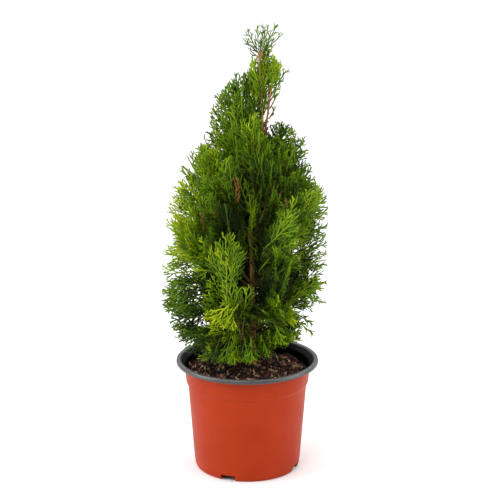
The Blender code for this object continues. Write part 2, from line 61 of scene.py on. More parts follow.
view = {
    "distance": 1.893,      # metres in front of the pot's axis
    "height": 0.776,
    "sideways": 0.0032,
    "pitch": 15.04,         # degrees below the horizon
    "fieldOfView": 17.05,
}
studio = {
    "surround": 0.24,
    "floorSize": 18.0,
    "floorColour": (255, 255, 255),
    "panels": (             # name, place, size, watts
        ("overhead", (0.0, 1.6, 3.4), 13.0, 590.0),
        ("leftPanel", (-2.0, -0.5, 1.0), 1.5, 26.0),
        ("rightPanel", (2.0, -0.4, 0.8), 1.5, 16.0),
        ("frontPanel", (-0.9, -2.0, 1.9), 0.8, 9.0),
    ),
    "aim": (0.0, 0.0, 0.27),
}


def linear(colour):
    return [((c / 255 + 0.055) / 1.055) ** 2.4 for c in colour]


def makeCamera():
    lens = bpy.data.cameras.new("camera")
    lens.angle = math.radians(view["fieldOfView"])
    lens.clip_end = 50
    camera = bpy.data.objects.new("camera", lens)
    camera.location = (view["sideways"], -view["distance"], view["height"])
    camera.rotation_euler.x = math.radians(90 - view["pitch"])
    bpy.context.scene.collection.objects.link(camera)
    bpy.context.scene.camera = camera


def makeStudio():
    world = bpy.data.worlds.new("surround")
    world.use_nodes = True
    sky = world.node_tree.nodes["Background"]
    sky.inputs["Color"].default_value = (1, 1, 1, 1)
    sky.inputs["Strength"].default_value = studio["surround"]
    bpy.context.scene.world = world
    bpy.context.scene.view_settings.view_transform = "Standard"
    for name, place, size, watts in studio["panels"]:
        panel = bpy.data.lights.new(name, "AREA")
        panel.size = size
        panel.energy = watts
        lamp = bpy.data.objects.new(name, panel)
        lamp.location = place
        if name != "overhead":          # that one faces straight down
            aim = Vector(studio["aim"]) - lamp.location
            lamp.rotation_euler = aim.to_track_quat("-Z", "Y").to_euler()
        bpy.context.scene.collection.objects.link(lamp)
    bpy.ops.mesh.primitive_plane_add(size=studio["floorSize"])
    floor = bpy.context.object
    floor.name = "floor"
    paint = bpy.data.materials.new("floorPaint")
    paint.use_nodes = True
    shader = paint.node_tree.nodes["Principled BSDF"]
    shader.inputs["Base Color"].default_value = (*linear(studio["floorColour"]), 1)
    shader.inputs["Roughness"].default_value = 0.9
    floor.data.materials.append(paint)


makeCamera()
makeStudio()
print("camera, light and floor made")

# Materials


def addNode(tree, kind, inputs=None, **settings):
    node = tree.nodes.new(kind)
    for key, value in settings.items():
        setattr(node, key, value)
    for key, value in (inputs or {}).items():
        if isinstance(value, bpy.types.NodeSocket):
            tree.links.new(value, node.inputs[key])
        else:
            node.inputs[key].default_value = value
    return node


def newGroup(name, inputs, outputs):
    group = bpy.data.node_groups.new(name, "ShaderNodeTree")
    for socketName, kind, value in inputs:
        socket = group.interface.new_socket(socketName, in_out="INPUT", socket_type=kind)
        socket.default_value = value
    for socketName in outputs:
        group.interface.new_socket(socketName, in_out="OUTPUT", socket_type="NodeSocketFloat")
    return group, group.nodes.new("NodeGroupInput"), group.nodes.new("NodeGroupOutput")


def objectPlace(tree):
    return addNode(tree, "ShaderNodeTexCoord").outputs["Object"]


def upPart(tree, vector):
    return addNode(tree, "ShaderNodeSeparateXYZ", inputs={0: vector}).outputs["Z"]


def noised(tree, place, scale, detail):
    return addNode(tree, "ShaderNodeTexNoise", inputs={
        "Vector": place, "Scale": scale, "Detail": detail}).outputs["Fac"]


def times(tree, first, second, clamp=False):
    return addNode(tree, "ShaderNodeMath", operation="MULTIPLY", use_clamp=clamp, inputs={
        0: first, 1: second}).outputs["Value"]


def between(tree, value, low, high):        # 0 at low and 1 at high
    return addNode(tree, "ShaderNodeMapRange", inputs={
        "Value": value, "From Min": low, "From Max": high}).outputs["Result"]


def ranged(tree, mask, low, high):          # low where the mask is 0 and high where it is 1
    return addNode(tree, "ShaderNodeMapRange", inputs={
        "Value": mask, "To Min": low, "To Max": high}).outputs["Result"]


def makeMottle():               # soft patches, and a finer grain for relief
    group, given, made = newGroup(
        "mottle",
        [("Scale", "NodeSocketFloat", 40.0), ("Stretch", "NodeSocketVector", (1, 1, 1)),
         ("Grain", "NodeSocketFloat", 8.0)],
        ["Mask", "Height"])
    stretched = addNode(group, "ShaderNodeVectorMath", operation="MULTIPLY", inputs={
        0: objectPlace(group), 1: given.outputs["Stretch"]}).outputs["Vector"]
    mask = between(group, noised(group, stretched, given.outputs["Scale"], 3.0), 0.32, 0.68)
    fineScale = times(group, given.outputs["Scale"], given.outputs["Grain"])
    height = addNode(group, "ShaderNodeMath", operation="MULTIPLY_ADD", inputs={
        0: mask, 1: 0.35, 2: noised(group, stretched, fineScale, 4.0)})
    group.links.new(mask, made.inputs["Mask"])
    group.links.new(height.outputs["Value"], made.inputs["Height"])
    return group


def makeDustAndHighlight():                 # settles on what faces up, in patches: real dust, and on the black lining also a painted highlight on the lip's top
    group, given, made = newGroup(
        "dustAndHighlight", [("Scale", "NodeSocketFloat", 60.0), ("Amount", "NodeSocketFloat", 0.5)], ["Mask"])
    geometry = addNode(group, "ShaderNodeNewGeometry")
    facing = between(group, upPart(group, geometry.outputs["Normal"]), -0.2, 1.0)
    spread = times(group, facing, noised(group, objectPlace(group), given.outputs["Scale"], 5.0))
    mask = times(group, spread, given.outputs["Amount"], clamp=True)
    group.links.new(mask, made.inputs["Mask"])
    return group


mottle = makeMottle()
dustAndHighlight = makeDustAndHighlight()


def newMaterial(name, roughness):
    material = bpy.data.materials.new(name)
    material.use_nodes = True
    tree = material.node_tree
    shader = tree.nodes["Principled BSDF"]
    shader.inputs["Roughness"].default_value = roughness
    return material, tree, shader


def placeMottle(tree, scale, stretch=(1, 1, 1), grain=8.0):
    return addNode(tree, "ShaderNodeGroup", node_tree=mottle, inputs={
        "Scale": scale, "Stretch": stretch, "Grain": grain})


def placeDustAndHighlight(tree, scale, amount):
    return addNode(tree, "ShaderNodeGroup", node_tree=dustAndHighlight, inputs={
        "Scale": scale, "Amount": amount})


def blended(tree, mask, first, second):     # a colour or a socket each
    sides = [side if isinstance(side, bpy.types.NodeSocket) else (*linear(side), 1)
             for side in (first, second)]
    return addNode(tree, "ShaderNodeMix", data_type="RGBA", inputs={
        0: mask, 6: sides[0], 7: sides[1]}).outputs[2]


def bumped(tree, shader, height, strength, distance):
    bump = addNode(tree, "ShaderNodeBump", inputs={
        "Height": height, "Strength": strength, "Distance": distance})
    tree.links.new(bump.outputs["Normal"], shader.inputs["Normal"])


def potPlastic(name, look):
    material, tree, shader = newMaterial(name, 0.45)
    shader.inputs["Specular IOR Level"].default_value = look["specular"]
    patches = placeMottle(tree, look["patchScale"], grain=look["grain"])
    # dust on what faces up; on the lining this also paints a highlight on the lip's top
    dustAndHighlightNode = placeDustAndHighlight(tree, look["dustAndHighlightScale"], look["dustAndHighlight"])
    colour = blended(tree, patches.outputs["Mask"], look["colour"], look["worn"])
    colour = blended(tree, dustAndHighlightNode.outputs["Mask"], colour, look["dustAndHighlightColour"])
    if "paintedShadeColour" in look:            # painted shade inside the lip: the inner wall is painted near black there, with a lower specular
        level = addNode(tree, "ShaderNodeVectorMath", operation="MULTIPLY", inputs={
            0: objectPlace(tree), 1: (1, 1, 0)})
        spread = addNode(tree, "ShaderNodeVectorMath", operation="LENGTH", inputs={
            0: level.outputs["Vector"]})
        outer = between(tree, spread.outputs["Value"], *look["paintedShadeRadii"])
        colour = blended(tree, outer, look["paintedShadeColour"], colour)
        tree.links.new(ranged(tree, outer, look["paintedShadeSpecular"], look["specular"]),
                       shader.inputs["Specular IOR Level"])
    tree.links.new(colour, shader.inputs["Base Color"])
    tree.links.new(ranged(tree, patches.outputs["Mask"], *look["roughness"]),
                   shader.inputs["Roughness"])
    bumped(tree, shader, patches.outputs["Height"], look["relief"], 0.0004)
    return material


def woodyMaterial(name, look):
    material, tree, shader = newMaterial(name, 0.8)
    patches = placeMottle(tree, look["scale"], look["stretch"], look["grain"])
    height = between(tree, upPart(tree, objectPlace(tree)), *look["heights"])
    ridge = blended(tree, height, look["low"], look["high"])
    furrow = blended(tree, height, look["lowFurrow"], look["highFurrow"])
    tree.links.new(blended(tree, patches.outputs["Mask"], furrow, ridge), shader.inputs["Base Color"])
    bumped(tree, shader, patches.outputs["Height"], look["relief"], 0.0005)
    return material


# Mesh helpers

def meshPiece(name, points, faces, materials, slots=None):
    mesh = bpy.data.meshes.new(name)
    mesh.vertices.add(len(points))
    mesh.vertices.foreach_set("co", np.asarray(points, np.float32).ravel())
    mesh.loops.add(faces.size)
    mesh.loops.foreach_set("vertex_index", faces.astype(np.int32).ravel())
    mesh.polygons.add(len(faces))
    starts = np.arange(0, faces.size, faces.shape[1], dtype=np.int32)
    mesh.polygons.foreach_set("loop_start", starts)
    mesh.polygons.foreach_set("use_smooth", np.ones(len(faces), bool))
    if slots is not None:
        mesh.polygons.foreach_set("material_index", np.asarray(slots, np.int32))
    mesh.update(calc_edges=True)
    return linked(name, mesh, materials)


def linked(name, mesh, materials):
    for material in materials:
        mesh.materials.append(material)
    piece = bpy.data.objects.new(name, mesh)
    bpy.context.scene.collection.objects.link(piece)
    return piece


def handedOver(piece, nodes):
    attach(piece, "root")
    if nodes:
        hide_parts(*nodes)


def evaluatedMesh(part):
    bpy.context.view_layer.update()
    graph = bpy.context.evaluated_depsgraph_get()
    return bpy.data.meshes.new_from_object(part.evaluated_get(graph))


def roundedOutline(corners, segments=5):    # corners are (radius, height, rounding)
    outline = []
    for k, (radius, height, rounding) in enumerate(corners):
        corner = Vector((radius, height))
        if not rounding:
            outline.append(tuple(corner))
            continue
        before = Vector(corners[k - 1][:2]) - corner
        after = Vector(corners[k + 1][:2]) - corner
        start = corner + before.normalized() * min(rounding, 0.48 * before.length)
        end = corner + after.normalized() * min(rounding, 0.48 * after.length)
        for step in range(segments + 1):
            t = step / segments
            outline.append(tuple(start * (1 - t) ** 2 + corner * (2 * t * (1 - t)) + end * t * t))
    return outline


def turned(name, outline, steps):
    mesh = bpy.data.meshes.new(name)
    points = [(radius, 0, height) for radius, height in outline]
    mesh.from_pydata(points, [(k, k + 1) for k in range(len(points) - 1)], [])
    part = linked(name, mesh, [])
    screw = part.modifiers.new("turn", "SCREW")
    screw.steps = screw.render_steps = steps
    screw.use_merge_vertices = True
    screw.merge_threshold = 0.00001
    screw.use_smooth_shade = True
    return part


# Pot and lining

pot = {
    "steps": 128,
    "skin": 0.0008,
    "gap": 0.0003,
    "collarTop": (0.0756, 0.1271),
    "collarFoot": (0.0731, 0.1060),
    "wallTop": (0.0710, 0.1040),
    "wallFoot": (0.0636, 0.0080),
    "floor": 0.0046,
    "lip": 0.0850,
    "lipTop": 0.1345,
    "wobble": 0.00025,
    "notches": (-21.6, 68.4, 158.4, 248.4),
    "notchSize": (0.0175, 0.016, 0.0068),
    "holes": 6,
    "holeRadius": 0.0042,
    "holeCircle": 0.0415,
}
terracottaLook = {
    "colour": (168, 49, 6), "worn": (160, 45, 5), "dustAndHighlightColour": (184, 88, 54),
    "patchScale": 26.0, "grain": 46.0, "dustAndHighlightScale": 140.0, "dustAndHighlight": 0.10,
    "roughness": (0.40, 0.50), "relief": 0.10, "specular": 0.13,
}
liningLook = {
    "colour": (18, 18, 19), "worn": (28, 27, 28), "dustAndHighlightColour": (136, 136, 134),
    # its dust is partly real dust and partly a painted highlight that lightens the top of the lip
    "patchScale": 60.0, "grain": 22.0, "dustAndHighlightScale": 210.0, "dustAndHighlight": 0.52,
    "roughness": (0.28, 0.42), "relief": 0.16, "specular": 0.9,
    # painted shade on the inner wall below the lip: near-black colour and low specular within these
    # radii
    "paintedShadeColour": (5, 5, 5), "paintedShadeRadii": (0.0784, 0.0794), "paintedShadeSpecular": 0.06,
}


def direction(azimuth):
    turn = math.radians(azimuth)
    return Vector((math.sin(turn), -math.cos(turn), 0))


def wobbled(mesh, amount):          # thin sheet is never quite round
    for vertex in mesh.vertices:
        spread = math.hypot(vertex.co.x, vertex.co.y)
        if spread > 0.03:
            around = Vector((vertex.co.x / spread, vertex.co.y / spread, vertex.co.z * 9))
            scale = 1 + amount * noise.noise(around * 1.7) / spread
            vertex.co.x *= scale
            vertex.co.y *= scale


def potCutters(name, shapes):
    cutters = bpy.data.collections.new(name)
    bpy.context.scene.collection.children.link(cutters)
    for kind, place, turn, size in shapes:
        if kind == "box":
            bpy.ops.mesh.primitive_cube_add(size=1, location=place, rotation=(0, 0, turn))
        else:
            bpy.ops.mesh.primitive_cylinder_add(vertices=32, location=place, radius=0.5, depth=1)
        cutter = bpy.context.object
        cutter.scale = size
        for owner in cutter.users_collection:
            owner.objects.unlink(cutter)
        cutters.objects.link(cutter)
    return cutters


def cutAndFreeze(part, cutters, material):
    cut = part.modifiers.new("cut", "BOOLEAN")
    cut.operation = "DIFFERENCE"
    cut.operand_type = "COLLECTION"
    cut.collection = cutters
    mesh = evaluatedMesh(part)
    part.modifiers.clear()
    part.data = mesh
    wobbled(mesh, pot["wobble"])
    mesh.materials.clear()
    mesh.materials.append(material)
    mesh.shade_smooth()
    mesh.set_sharp_from_angle(angle=math.radians(38))


def removeCutters(cutters):
    for cutter in list(cutters.objects):
        bpy.data.objects.remove(cutter)
    bpy.data.collections.remove(cutters)


def holeShapes(depth):
    shapes = []
    for k in range(pot["holes"]):
        place = direction(360 * (k + 0.5) / pot["holes"]) * pot["holeCircle"]
        width = 2 * pot["holeRadius"]
        shapes.append(("hole", place, 0, (width, width, depth)))
    return shapes


def makePotSkin():
    skin = pot["skin"]
    outer = [
        (*pot["collarTop"], 0.0), (*pot["collarFoot"], 0.0012), (*pot["wallTop"], 0.0012),
        (0.0638, 0.0105, 0.0), (0.0634, 0.0078, 0.0008), (0.0629, 0.0068, 0.0006),
        (0.0630, 0.0036, 0.0010), (0.0607, 0.0, 0.0009),
    ]
    under = [(0.0540, 0.0, 0.0006), (0.0528, 0.0038, 0.0008), (0.0300, 0.0038, 0.0008),
             (0.0280, 0.0, 0.0006), (0.0, 0.0, 0.0)]
    inner = [(0.0, pot["floor"], 0.0), (pot["wallFoot"][0] - skin - 0.0006, pot["floor"], 0.0008)]
    for name in ("wallFoot", "wallTop", "collarFoot"):
        radius, height = pot[name]
        inner.append((radius - skin, height + 0.0002, 0.0010))
    inner.append((pot["collarTop"][0] - skin, pot["collarTop"][1], 0.0))
    part = turned("terracotta_skin", roundedOutline(inner + outer + under), pot["steps"])
    width, depth, height = pot["notchSize"]
    shapes = [("box", direction(azimuth) * 0.0588, math.radians(azimuth), (width, depth, 2 * height))
              for azimuth in pot["notches"]]
    cutters = potCutters("potCutters", shapes + holeShapes(0.03))
    cutAndFreeze(part, cutters, potPlastic("terracottaPlastic", terracottaLook))
    removeCutters(cutters)
    handedOver(part, ["pot"])


def makeLining():
    skin = pot["skin"]
    back = skin + pot["gap"]
    floor = pot["floor"] + pot["gap"]
    outer = [(pot["collarTop"][0] - back, pot["collarTop"][1] + 0.0007, 0.0008)]
    for name in ("collarFoot", "wallTop", "wallFoot"):
        radius, height = pot[name]
        outer.append((radius - back, height + pot["gap"], 0.0010))
    outer.append((pot["wallFoot"][0] - back - 0.0007, floor, 0.0006))
    lipAt = lambda inward, down, rounding: (pot["lip"] - inward, pot["lipTop"] - down, rounding)
    lip = [
        lipAt(0.0062, 0.0016, 0.0012), lipAt(0.0052, 0.0, 0.0016), lipAt(0.0010, 0.0, 0.0022),
        lipAt(0.0, 0.0030, 0.0014), lipAt(0.0002, 0.0048, 0.0004), lipAt(0.0011, 0.0048, 0.0004),
        lipAt(0.0014, 0.0021, 0.0008), lipAt(0.0050, 0.0017, 0.0008),
    ]
    ledge = pot["collarTop"][1] - 0.004
    inner = [(0.0, floor + skin, 0.0)]
    inner.append((outer[-1][0] - skin, floor + skin, 0.0008))
    for radius, height, rounding in reversed(outer[:-1]):
        inner.append((radius - skin, height + 0.0002, rounding))
    inner.insert(-1, (inner[-1][0] - 0.0004, ledge - 0.0012, 0.0006))
    part = turned("black_lining", roundedOutline(inner + lip + outer + [(0.0, floor, 0.0)]),
                  pot["steps"])
    cutters = potCutters("liningCutters", holeShapes(0.02))
    cutAndFreeze(part, cutters, potPlastic("blackPlastic", liningLook))
    removeCutters(cutters)
    handedOver(part, ["pot_lining"])


makePotSkin()
makeLining()
print("pot made")

# Soil, with bark chips, crumbs and fibres on it

soil = {
    "seed": 7,
    "top": 0.1220,
    "edge": 0.0718,
    "bottom": 0.0063,
    "lumps": 0.0034,
    "mound": 0.0022,
    "slump": 0.0028,
    "steps": 150,
    "rings": 46,
    "chips": {              # size ranges along, across and through, and shares of the barks
        "count": 1500, "sizes": ((0.0045, 0.0125), (0.0010, 0.0028), (0.0007, 0.0017)),
        "tilt": 0.65, "lift": 1.3, "shares": (0.44, 0.24, 0.16, 0.16),
    },
    "crumbs": {
        "count": 1100, "sizes": ((0.0010, 0.0030), (0.0008, 0.0024), (0.0006, 0.0018)),
        "tilt": 0.8, "lift": 0.3, "shares": (0.50, 0.28, 0.15, 0.06, 0.01),
    },
    "fibres": 620,
}
soilColours = {
    "dark": (14, 7, 4), "mid": (70, 42, 26), "red": (128, 68, 40),
    "tan": (214, 172, 134), "pale": (226, 210, 186),
}


def soilHeight(x, y):
    spread = math.hypot(x, y)
    lump = noise.fractal(Vector((x * 55, y * 55, 3.1)), 0.9, 2.1, 5)
    mound = soil["mound"] * math.exp(-(spread / 0.022) ** 2)
    slump = soil["slump"] * (spread / soil["edge"]) ** 4
    return soil["top"] + soil["lumps"] * lump + mound - slump


def liningInside(height):
    heights = (pot["wallFoot"][1], pot["wallTop"][1], pot["collarFoot"][1], pot["collarTop"][1])
    radii = (pot["wallFoot"][0], pot["wallTop"][0], pot["collarFoot"][0], pot["collarTop"][0])
    return float(np.interp(height, heights, radii)) - 2 * pot["skin"] - 3 * pot["gap"]


def soilMaterial(name, colour, other, relief):
    material, tree, shader = newMaterial(name, 0.92)
    patches = placeMottle(tree, 260.0, grain=5.0)
    tree.links.new(blended(tree, patches.outputs["Mask"], colour, other),
                   shader.inputs["Base Color"])
    tree.links.new(ranged(tree, patches.outputs["Mask"], 0.78, 0.98), shader.inputs["Roughness"])
    bumped(tree, shader, patches.outputs["Height"], relief, 0.001)
    return material


def makeSoilBed():
    angles = np.linspace(0, 2 * math.pi, soil["steps"], endpoint=False)
    profile = [(soil["edge"] * k / soil["rings"], None) for k in range(1, soil["rings"] + 1)]
    for height in (0.112, pot["collarFoot"][1] + 0.0012):
        profile.append((liningInside(height), height))
    profile.append((liningInside(pot["wallTop"][1]), pot["wallTop"][1] - 0.0004))
    profile.append((liningInside(soil["bottom"] + 0.002) - 0.0004, soil["bottom"]))
    points = [(0, 0, soilHeight(0, 0))]
    for radius, height in profile:
        for angle in angles:
            x, y = radius * math.cos(angle), radius * math.sin(angle)
            points.append((x, y, soilHeight(x, y) if height is None else height))
    points.append((0, 0, soil["bottom"]))
    steps = soil["steps"]
    around = np.arange(steps)
    onward = (around + 1) % steps
    faces = [np.stack([np.zeros(steps, int), 1 + around, 1 + onward], 1)]
    for ring in range(len(profile) - 1):
        a = 1 + ring * steps + around
        b = 1 + ring * steps + onward
        faces.append(np.stack([a, a + steps, b + steps], 1))
        faces.append(np.stack([a, b + steps, b], 1))
    last = 1 + (len(profile) - 1) * steps
    faces.append(np.stack([np.full(steps, len(points) - 1), last + onward, last + around], 1))
    bed = meshPiece("soil_bed", points, np.concatenate(faces),
                    [soilMaterial("peat", soilColours["dark"], soilColours["mid"], 0.7)])
    handedOver(bed, ["soil"])


def scattered(draw, count, reach):
    spread = reach * np.sqrt(draw.uniform(0, 1, count))
    angle = draw.uniform(0, 2 * math.pi, count)
    return np.stack([spread * np.cos(angle), spread * np.sin(angle)], 1)


def randomTurns(draw, count, tilt):
    turn = draw.uniform(0, 2 * math.pi, count)
    lean = draw.normal(0, tilt, count)
    roll = draw.normal(0, tilt, count)
    ct, st, cl, sl, cr, sr = (f(a) for a in (turn, lean, roll) for f in (np.cos, np.sin))
    along = np.stack([ct * cl, st * cl, sl], 1)
    side = np.stack([-st * cr - ct * sl * sr, ct * cr - st * sl * sr, cl * sr], 1)
    return along, side, np.cross(along, side)


boxFaces = np.array([
    (0, 2, 1), (0, 3, 2), (4, 5, 6), (4, 6, 7), (0, 1, 5), (0, 5, 4),
    (1, 2, 6), (1, 6, 5), (2, 3, 7), (2, 7, 6), (3, 0, 4), (3, 4, 7),
])


def makeBits(name, bits, materials, seed):
    draw = np.random.default_rng(seed)
    count = bits["count"]
    places = scattered(draw, count, soil["edge"] - 0.003)
    heights = np.array([soilHeight(x, y) for x, y in places])
    along, side, up = randomTurns(draw, count, bits["tilt"])
    half = np.stack([draw.uniform(low, high, count) / 2 for low, high in bits["sizes"]], 1)
    corners = np.array([(x, y, z) for z in (-1, 1) for x, y in ((-1, -1), (1, -1), (1, 1), (-1, 1))])
    corners = corners[None] * draw.uniform(0.55, 1.1, (count, 8, 3))
    centre = np.column_stack([places, heights + bits["lift"] * half[:, 2]])
    axes = np.stack([along, side, up], 1)
    points = centre[:, None] + np.einsum("nki,nij->nkj", corners * half[:, None], axes)
    spread = np.hypot(points[..., 0], points[..., 1])
    inward = np.minimum(1, (soil["edge"] - 0.0005) / spread)[..., None]
    points = np.concatenate([points[..., :2] * inward, points[..., 2:]], 2)
    faces = (np.arange(count)[:, None, None] * 8 + boxFaces[None]).reshape(-1, 3)
    slots = np.repeat(draw.choice(len(materials), count, p=bits["shares"]), len(boxFaces))
    bits = meshPiece(name, points.reshape(-1, 3), faces, materials, slots)
    bits.data.shade_flat()
    handedOver(bits, [])


def makeFibres(materials):
    draw = np.random.default_rng(soil["seed"] + 5)
    count, rings = soil["fibres"], 6
    places = scattered(draw, count, soil["edge"] - 0.008)
    along, side, up = randomTurns(draw, count, 0.12)
    length = draw.uniform(0.005, 0.016, count)
    curl = draw.uniform(-0.5, 0.5, count)
    t = np.linspace(-0.5, 0.5, rings)
    lines = (length[:, None] * t)[..., None] * along[:, None]
    lines = lines + (length[:, None] * curl[:, None] * t ** 2)[..., None] * side[:, None]
    lines[..., :2] += places[:, None]
    for line in lines:
        for point in line:
            point[2] = point[2] * 0.5 + soilHeight(point[0], point[1]) + 0.0005
    thick = draw.uniform(0.0003, 0.0008, count)[:, None] * np.array([0.5, 1, 1, 1, 1, 0.4])
    ring = []
    for angle in (0.0, 2.1, 4.2):
        offset = math.cos(angle) * side + math.sin(angle) * up
        ring.append(lines + thick[..., None] * offset[:, None])
    points = np.stack(ring, 2)
    base = np.arange(rings - 1)[:, None] * 3
    k = np.arange(3)[None]
    n = (k + 1) % 3
    quads = np.stack([base + k, base + n, base + 3 + n, base + 3 + k], -1).reshape(-1, 4)
    tris = np.concatenate([quads[:, :3], quads[:, [0, 2, 3]], [[2, 1, 0]],
                           [[3 * rings - 3, 3 * rings - 2, 3 * rings - 1]]])
    faces = (np.arange(count)[:, None, None] * 3 * rings + tris[None]).reshape(-1, 3)
    slots = np.repeat(draw.choice(len(materials), count, p=(0.5, 0.5)), len(tris))
    fibres = meshPiece("soil_fibres", points.reshape(-1, 3), faces, materials, slots)
    handedOver(fibres, [])


def makeSoil():
    makeSoilBed()
    barks = [soilMaterial(name + "Bark", colour, [c * 0.62 for c in colour], 0.5)
             for name, colour in soilColours.items()]
    dark, mid, red, tan, pale = barks
    makeBits("bark_chips", soil["chips"], [dark, mid, red, tan], soil["seed"])
    makeBits("peat_crumbs", soil["crumbs"], barks, soil["seed"] + 1)
    makeFibres([tan, red])


makeSoil()
print("soil made")

# The crown's rule: trunk line, outline, tiers of boughs and the space of each mass

crown = {
    "seed": 41,
    "leanHeights": (0.122, 0.200, 0.290, 0.335, 0.388, 0.435, 0.470, 0.500),
    "leanSideways": (0.0065, 0.0065, 0.0045, 0.0090, 0.0170, 0.0175, 0.0150, 0.0130),
    "leanDepth": (0.0, 0.001, 0.002, 0.002, 0.0, -0.001, -0.001, 0.0),
    "girthHeights": (0.122, 0.1245, 0.129, 0.136, 0.200, 0.300, 0.400, 0.484),
    "girthRadii": (0.0056, 0.0048, 0.0041, 0.0037, 0.0030, 0.0025, 0.0018, 0.0012),
    "outline": (            # height, how far left and how far right
        (0.1375, -0.080, 0.058), (0.150, -0.088, 0.066), (0.164, -0.086, 0.076),
        (0.177, -0.094, 0.075), (0.189, -0.091, 0.068), (0.201, -0.107, 0.085),
        (0.220, -0.105, 0.090), (0.244, -0.102, 0.094), (0.269, -0.098, 0.095),
        (0.299, -0.094, 0.099), (0.329, -0.088, 0.095), (0.347, -0.082, 0.089),
        (0.359, -0.074, 0.077), (0.371, -0.070, 0.073), (0.383, -0.074, 0.068),
        (0.396, -0.056, 0.068), (0.412, -0.044, 0.055), (0.418, -0.044, 0.047),
        (0.424, -0.043, 0.030), (0.436, -0.043, 0.029), (0.447, -0.040, 0.031),
        (0.455, -0.035, 0.035), (0.465, -0.024, 0.040), (0.475, -0.015, 0.044),
        (0.482, -0.004, 0.045), (0.490, 0.001, 0.040), (0.500, 0.001, 0.029),
        (0.508, -0.004, 0.031), (0.521, -0.008, 0.042), (0.536, 0.006, 0.036),
    ),
    "depth": 0.94,
    "coneSlope": 0.85,
    "bendReach": 0.5,
    "bendRise": 0.22,
}
tiers = (
    dict(name="skirt", count=5, first=-92, cones=(0.0, 0.142), levels=(0.138, 0.232),
         foot=0.134, rise=0.166, share=0.56, radius=0.0022, sprays=6, blade=0.088,
         climbs=(36, 4)),
    dict(name="low", count=5, first=-52, cones=(0.142, 0.202), levels=(0.140, 0.300),
         foot=0.166, rise=0.210, share=0.52, radius=0.0023, sprays=6, blade=0.080,
         climbs=(50, 24)),
    dict(name="middle", count=5, first=-95, cones=(0.202, 0.265), levels=(0.190, 0.370),
         foot=0.221, rise=0.272, share=0.52, radius=0.0021, sprays=5, blade=0.084,
         climbs=(56, 28)),
    dict(name="upper", count=4, first=-70, cones=(0.265, 0.336), levels=(0.250, 0.435),
         foot=0.282, rise=0.340, share=0.48, radius=0.0018, sprays=6, blade=0.080,
         climbs=(64, 36)),
    dict(name="shoulder", count=4, first=-90, cones=(0.336, 0.600), levels=(0.330, 0.482),
         foot=0.346, rise=0.402, share=0.52, radius=0.0015, sprays=5, blade=0.084,
         climbs=(79, 40)),
)
sideLeader = dict(azimuth=68, foot=0.392, tip=0.448, reach=0.0100, radii=(0.0015, 0.00105, 0.0008))
sideTuft = dict(name="side_leader", azimuth=90, half=45, cones=(0, 1), levels=(0.436, 0.482),
                rise=0.460, reach=0.012, onward=0.006, sprays=4, blade=0.040, climbs=(76, 38),
                seed=942)
tipTuft = dict(azimuth=90, rise=0.502, reach=0.003, onward=0.010)
nearOffsets = np.array((-0.02, -0.01, 0, 0.01, 0.02))
outlineHeights, outlineLeft, outlineRight = np.array(crown["outline"]).T


def trunkCentres(heights):
    heights = np.asarray(heights, float)
    near = heights[..., None] + nearOffsets
    sideways = np.interp(near, crown["leanHeights"], crown["leanSideways"]).mean(-1)
    depth = np.interp(near, crown["leanHeights"], crown["leanDepth"]).mean(-1)
    return np.stack([sideways, depth, heights], -1)


def trunkRadius(height):
    return np.interp(height, crown["girthHeights"], crown["girthRadii"])


def directions(azimuths):
    turn = np.radians(azimuths)
    return np.stack([np.sin(turn), -np.cos(turn), np.zeros_like(turn)], -1)


def place(azimuth, reach, height):
    return trunkCentres(height) + directions(float(azimuth)) * reach


def crownReach(offset, spread, heights):        # how far the outline stands out that way
    centre = trunkCentres(heights)[..., 0]
    left = centre - np.interp(heights, outlineHeights, outlineLeft)
    right = np.interp(heights, outlineHeights, outlineRight) - centre
    towards = offset / np.maximum(spread, 1e-6)[..., None]
    side = np.where(towards[..., 0] > 0, right, left)
    depth = crown["depth"] * (left + right) / 2
    reach = 1 / np.hypot(towards[..., 0] / side, towards[..., 1] / depth)
    within = (heights >= outlineHeights[0]) & (heights <= outlineHeights[-1])
    return np.where(within, reach, 0)


def measured(points):                           # offset from the trunk, spread and crown reach
    offset = points[..., :2] - trunkCentres(points[..., 2])[..., :2]
    spread = np.hypot(offset[..., 0], offset[..., 1])
    return offset, spread, crownReach(offset, spread, points[..., 2])


def inSpace(mass, points, overlap):
    offset, spread, reach = measured(points)
    height = points[..., 2]
    cone = height - crown["coneSlope"] * spread
    inside = (spread < reach) & (cone > mass["cones"][0] - overlap)
    inside &= cone < mass["cones"][1] + overlap
    inside &= (height > mass["levels"][0] - overlap) & (height < mass["levels"][1] + overlap)
    if mass["half"] < 180:
        azimuth = np.degrees(np.arctan2(offset[..., 0], -offset[..., 1]))
        turn = np.abs((azimuth - mass["azimuth"] + 180) % 360 - 180)
        wall = spread * np.sin(np.radians(np.clip(mass["half"] - turn, -90, 90)))
        inside &= wall > -overlap
    return inside


def tierMasses(tier):
    masses = []
    for k in range(tier["count"]):
        chance = random.Random(crown["seed"] + 31 * len(tier["name"]) + k)
        mass = dict(tier)
        mass["name"] = f"{tier['name']}_{k + 1}"
        mass["azimuth"] = tier["first"] + 360 * k / tier["count"]
        mass["half"] = 180 / tier["count"]
        mass["foot"] = tier["foot"] + chance.uniform(-0.003, 0.007)
        mass["rise"] = tier["rise"] + chance.uniform(-0.007, 0.007)
        mass["seed"] = crown["seed"] + 100 * len(tier["name"]) + k
        masses.append(mass)
    return masses


def curved(start, bend, end, count):
    t = np.linspace(0, 1, count)[:, None]
    return start * (1 - t) ** 2 + bend * (2 * t * (1 - t)) + end * t * t


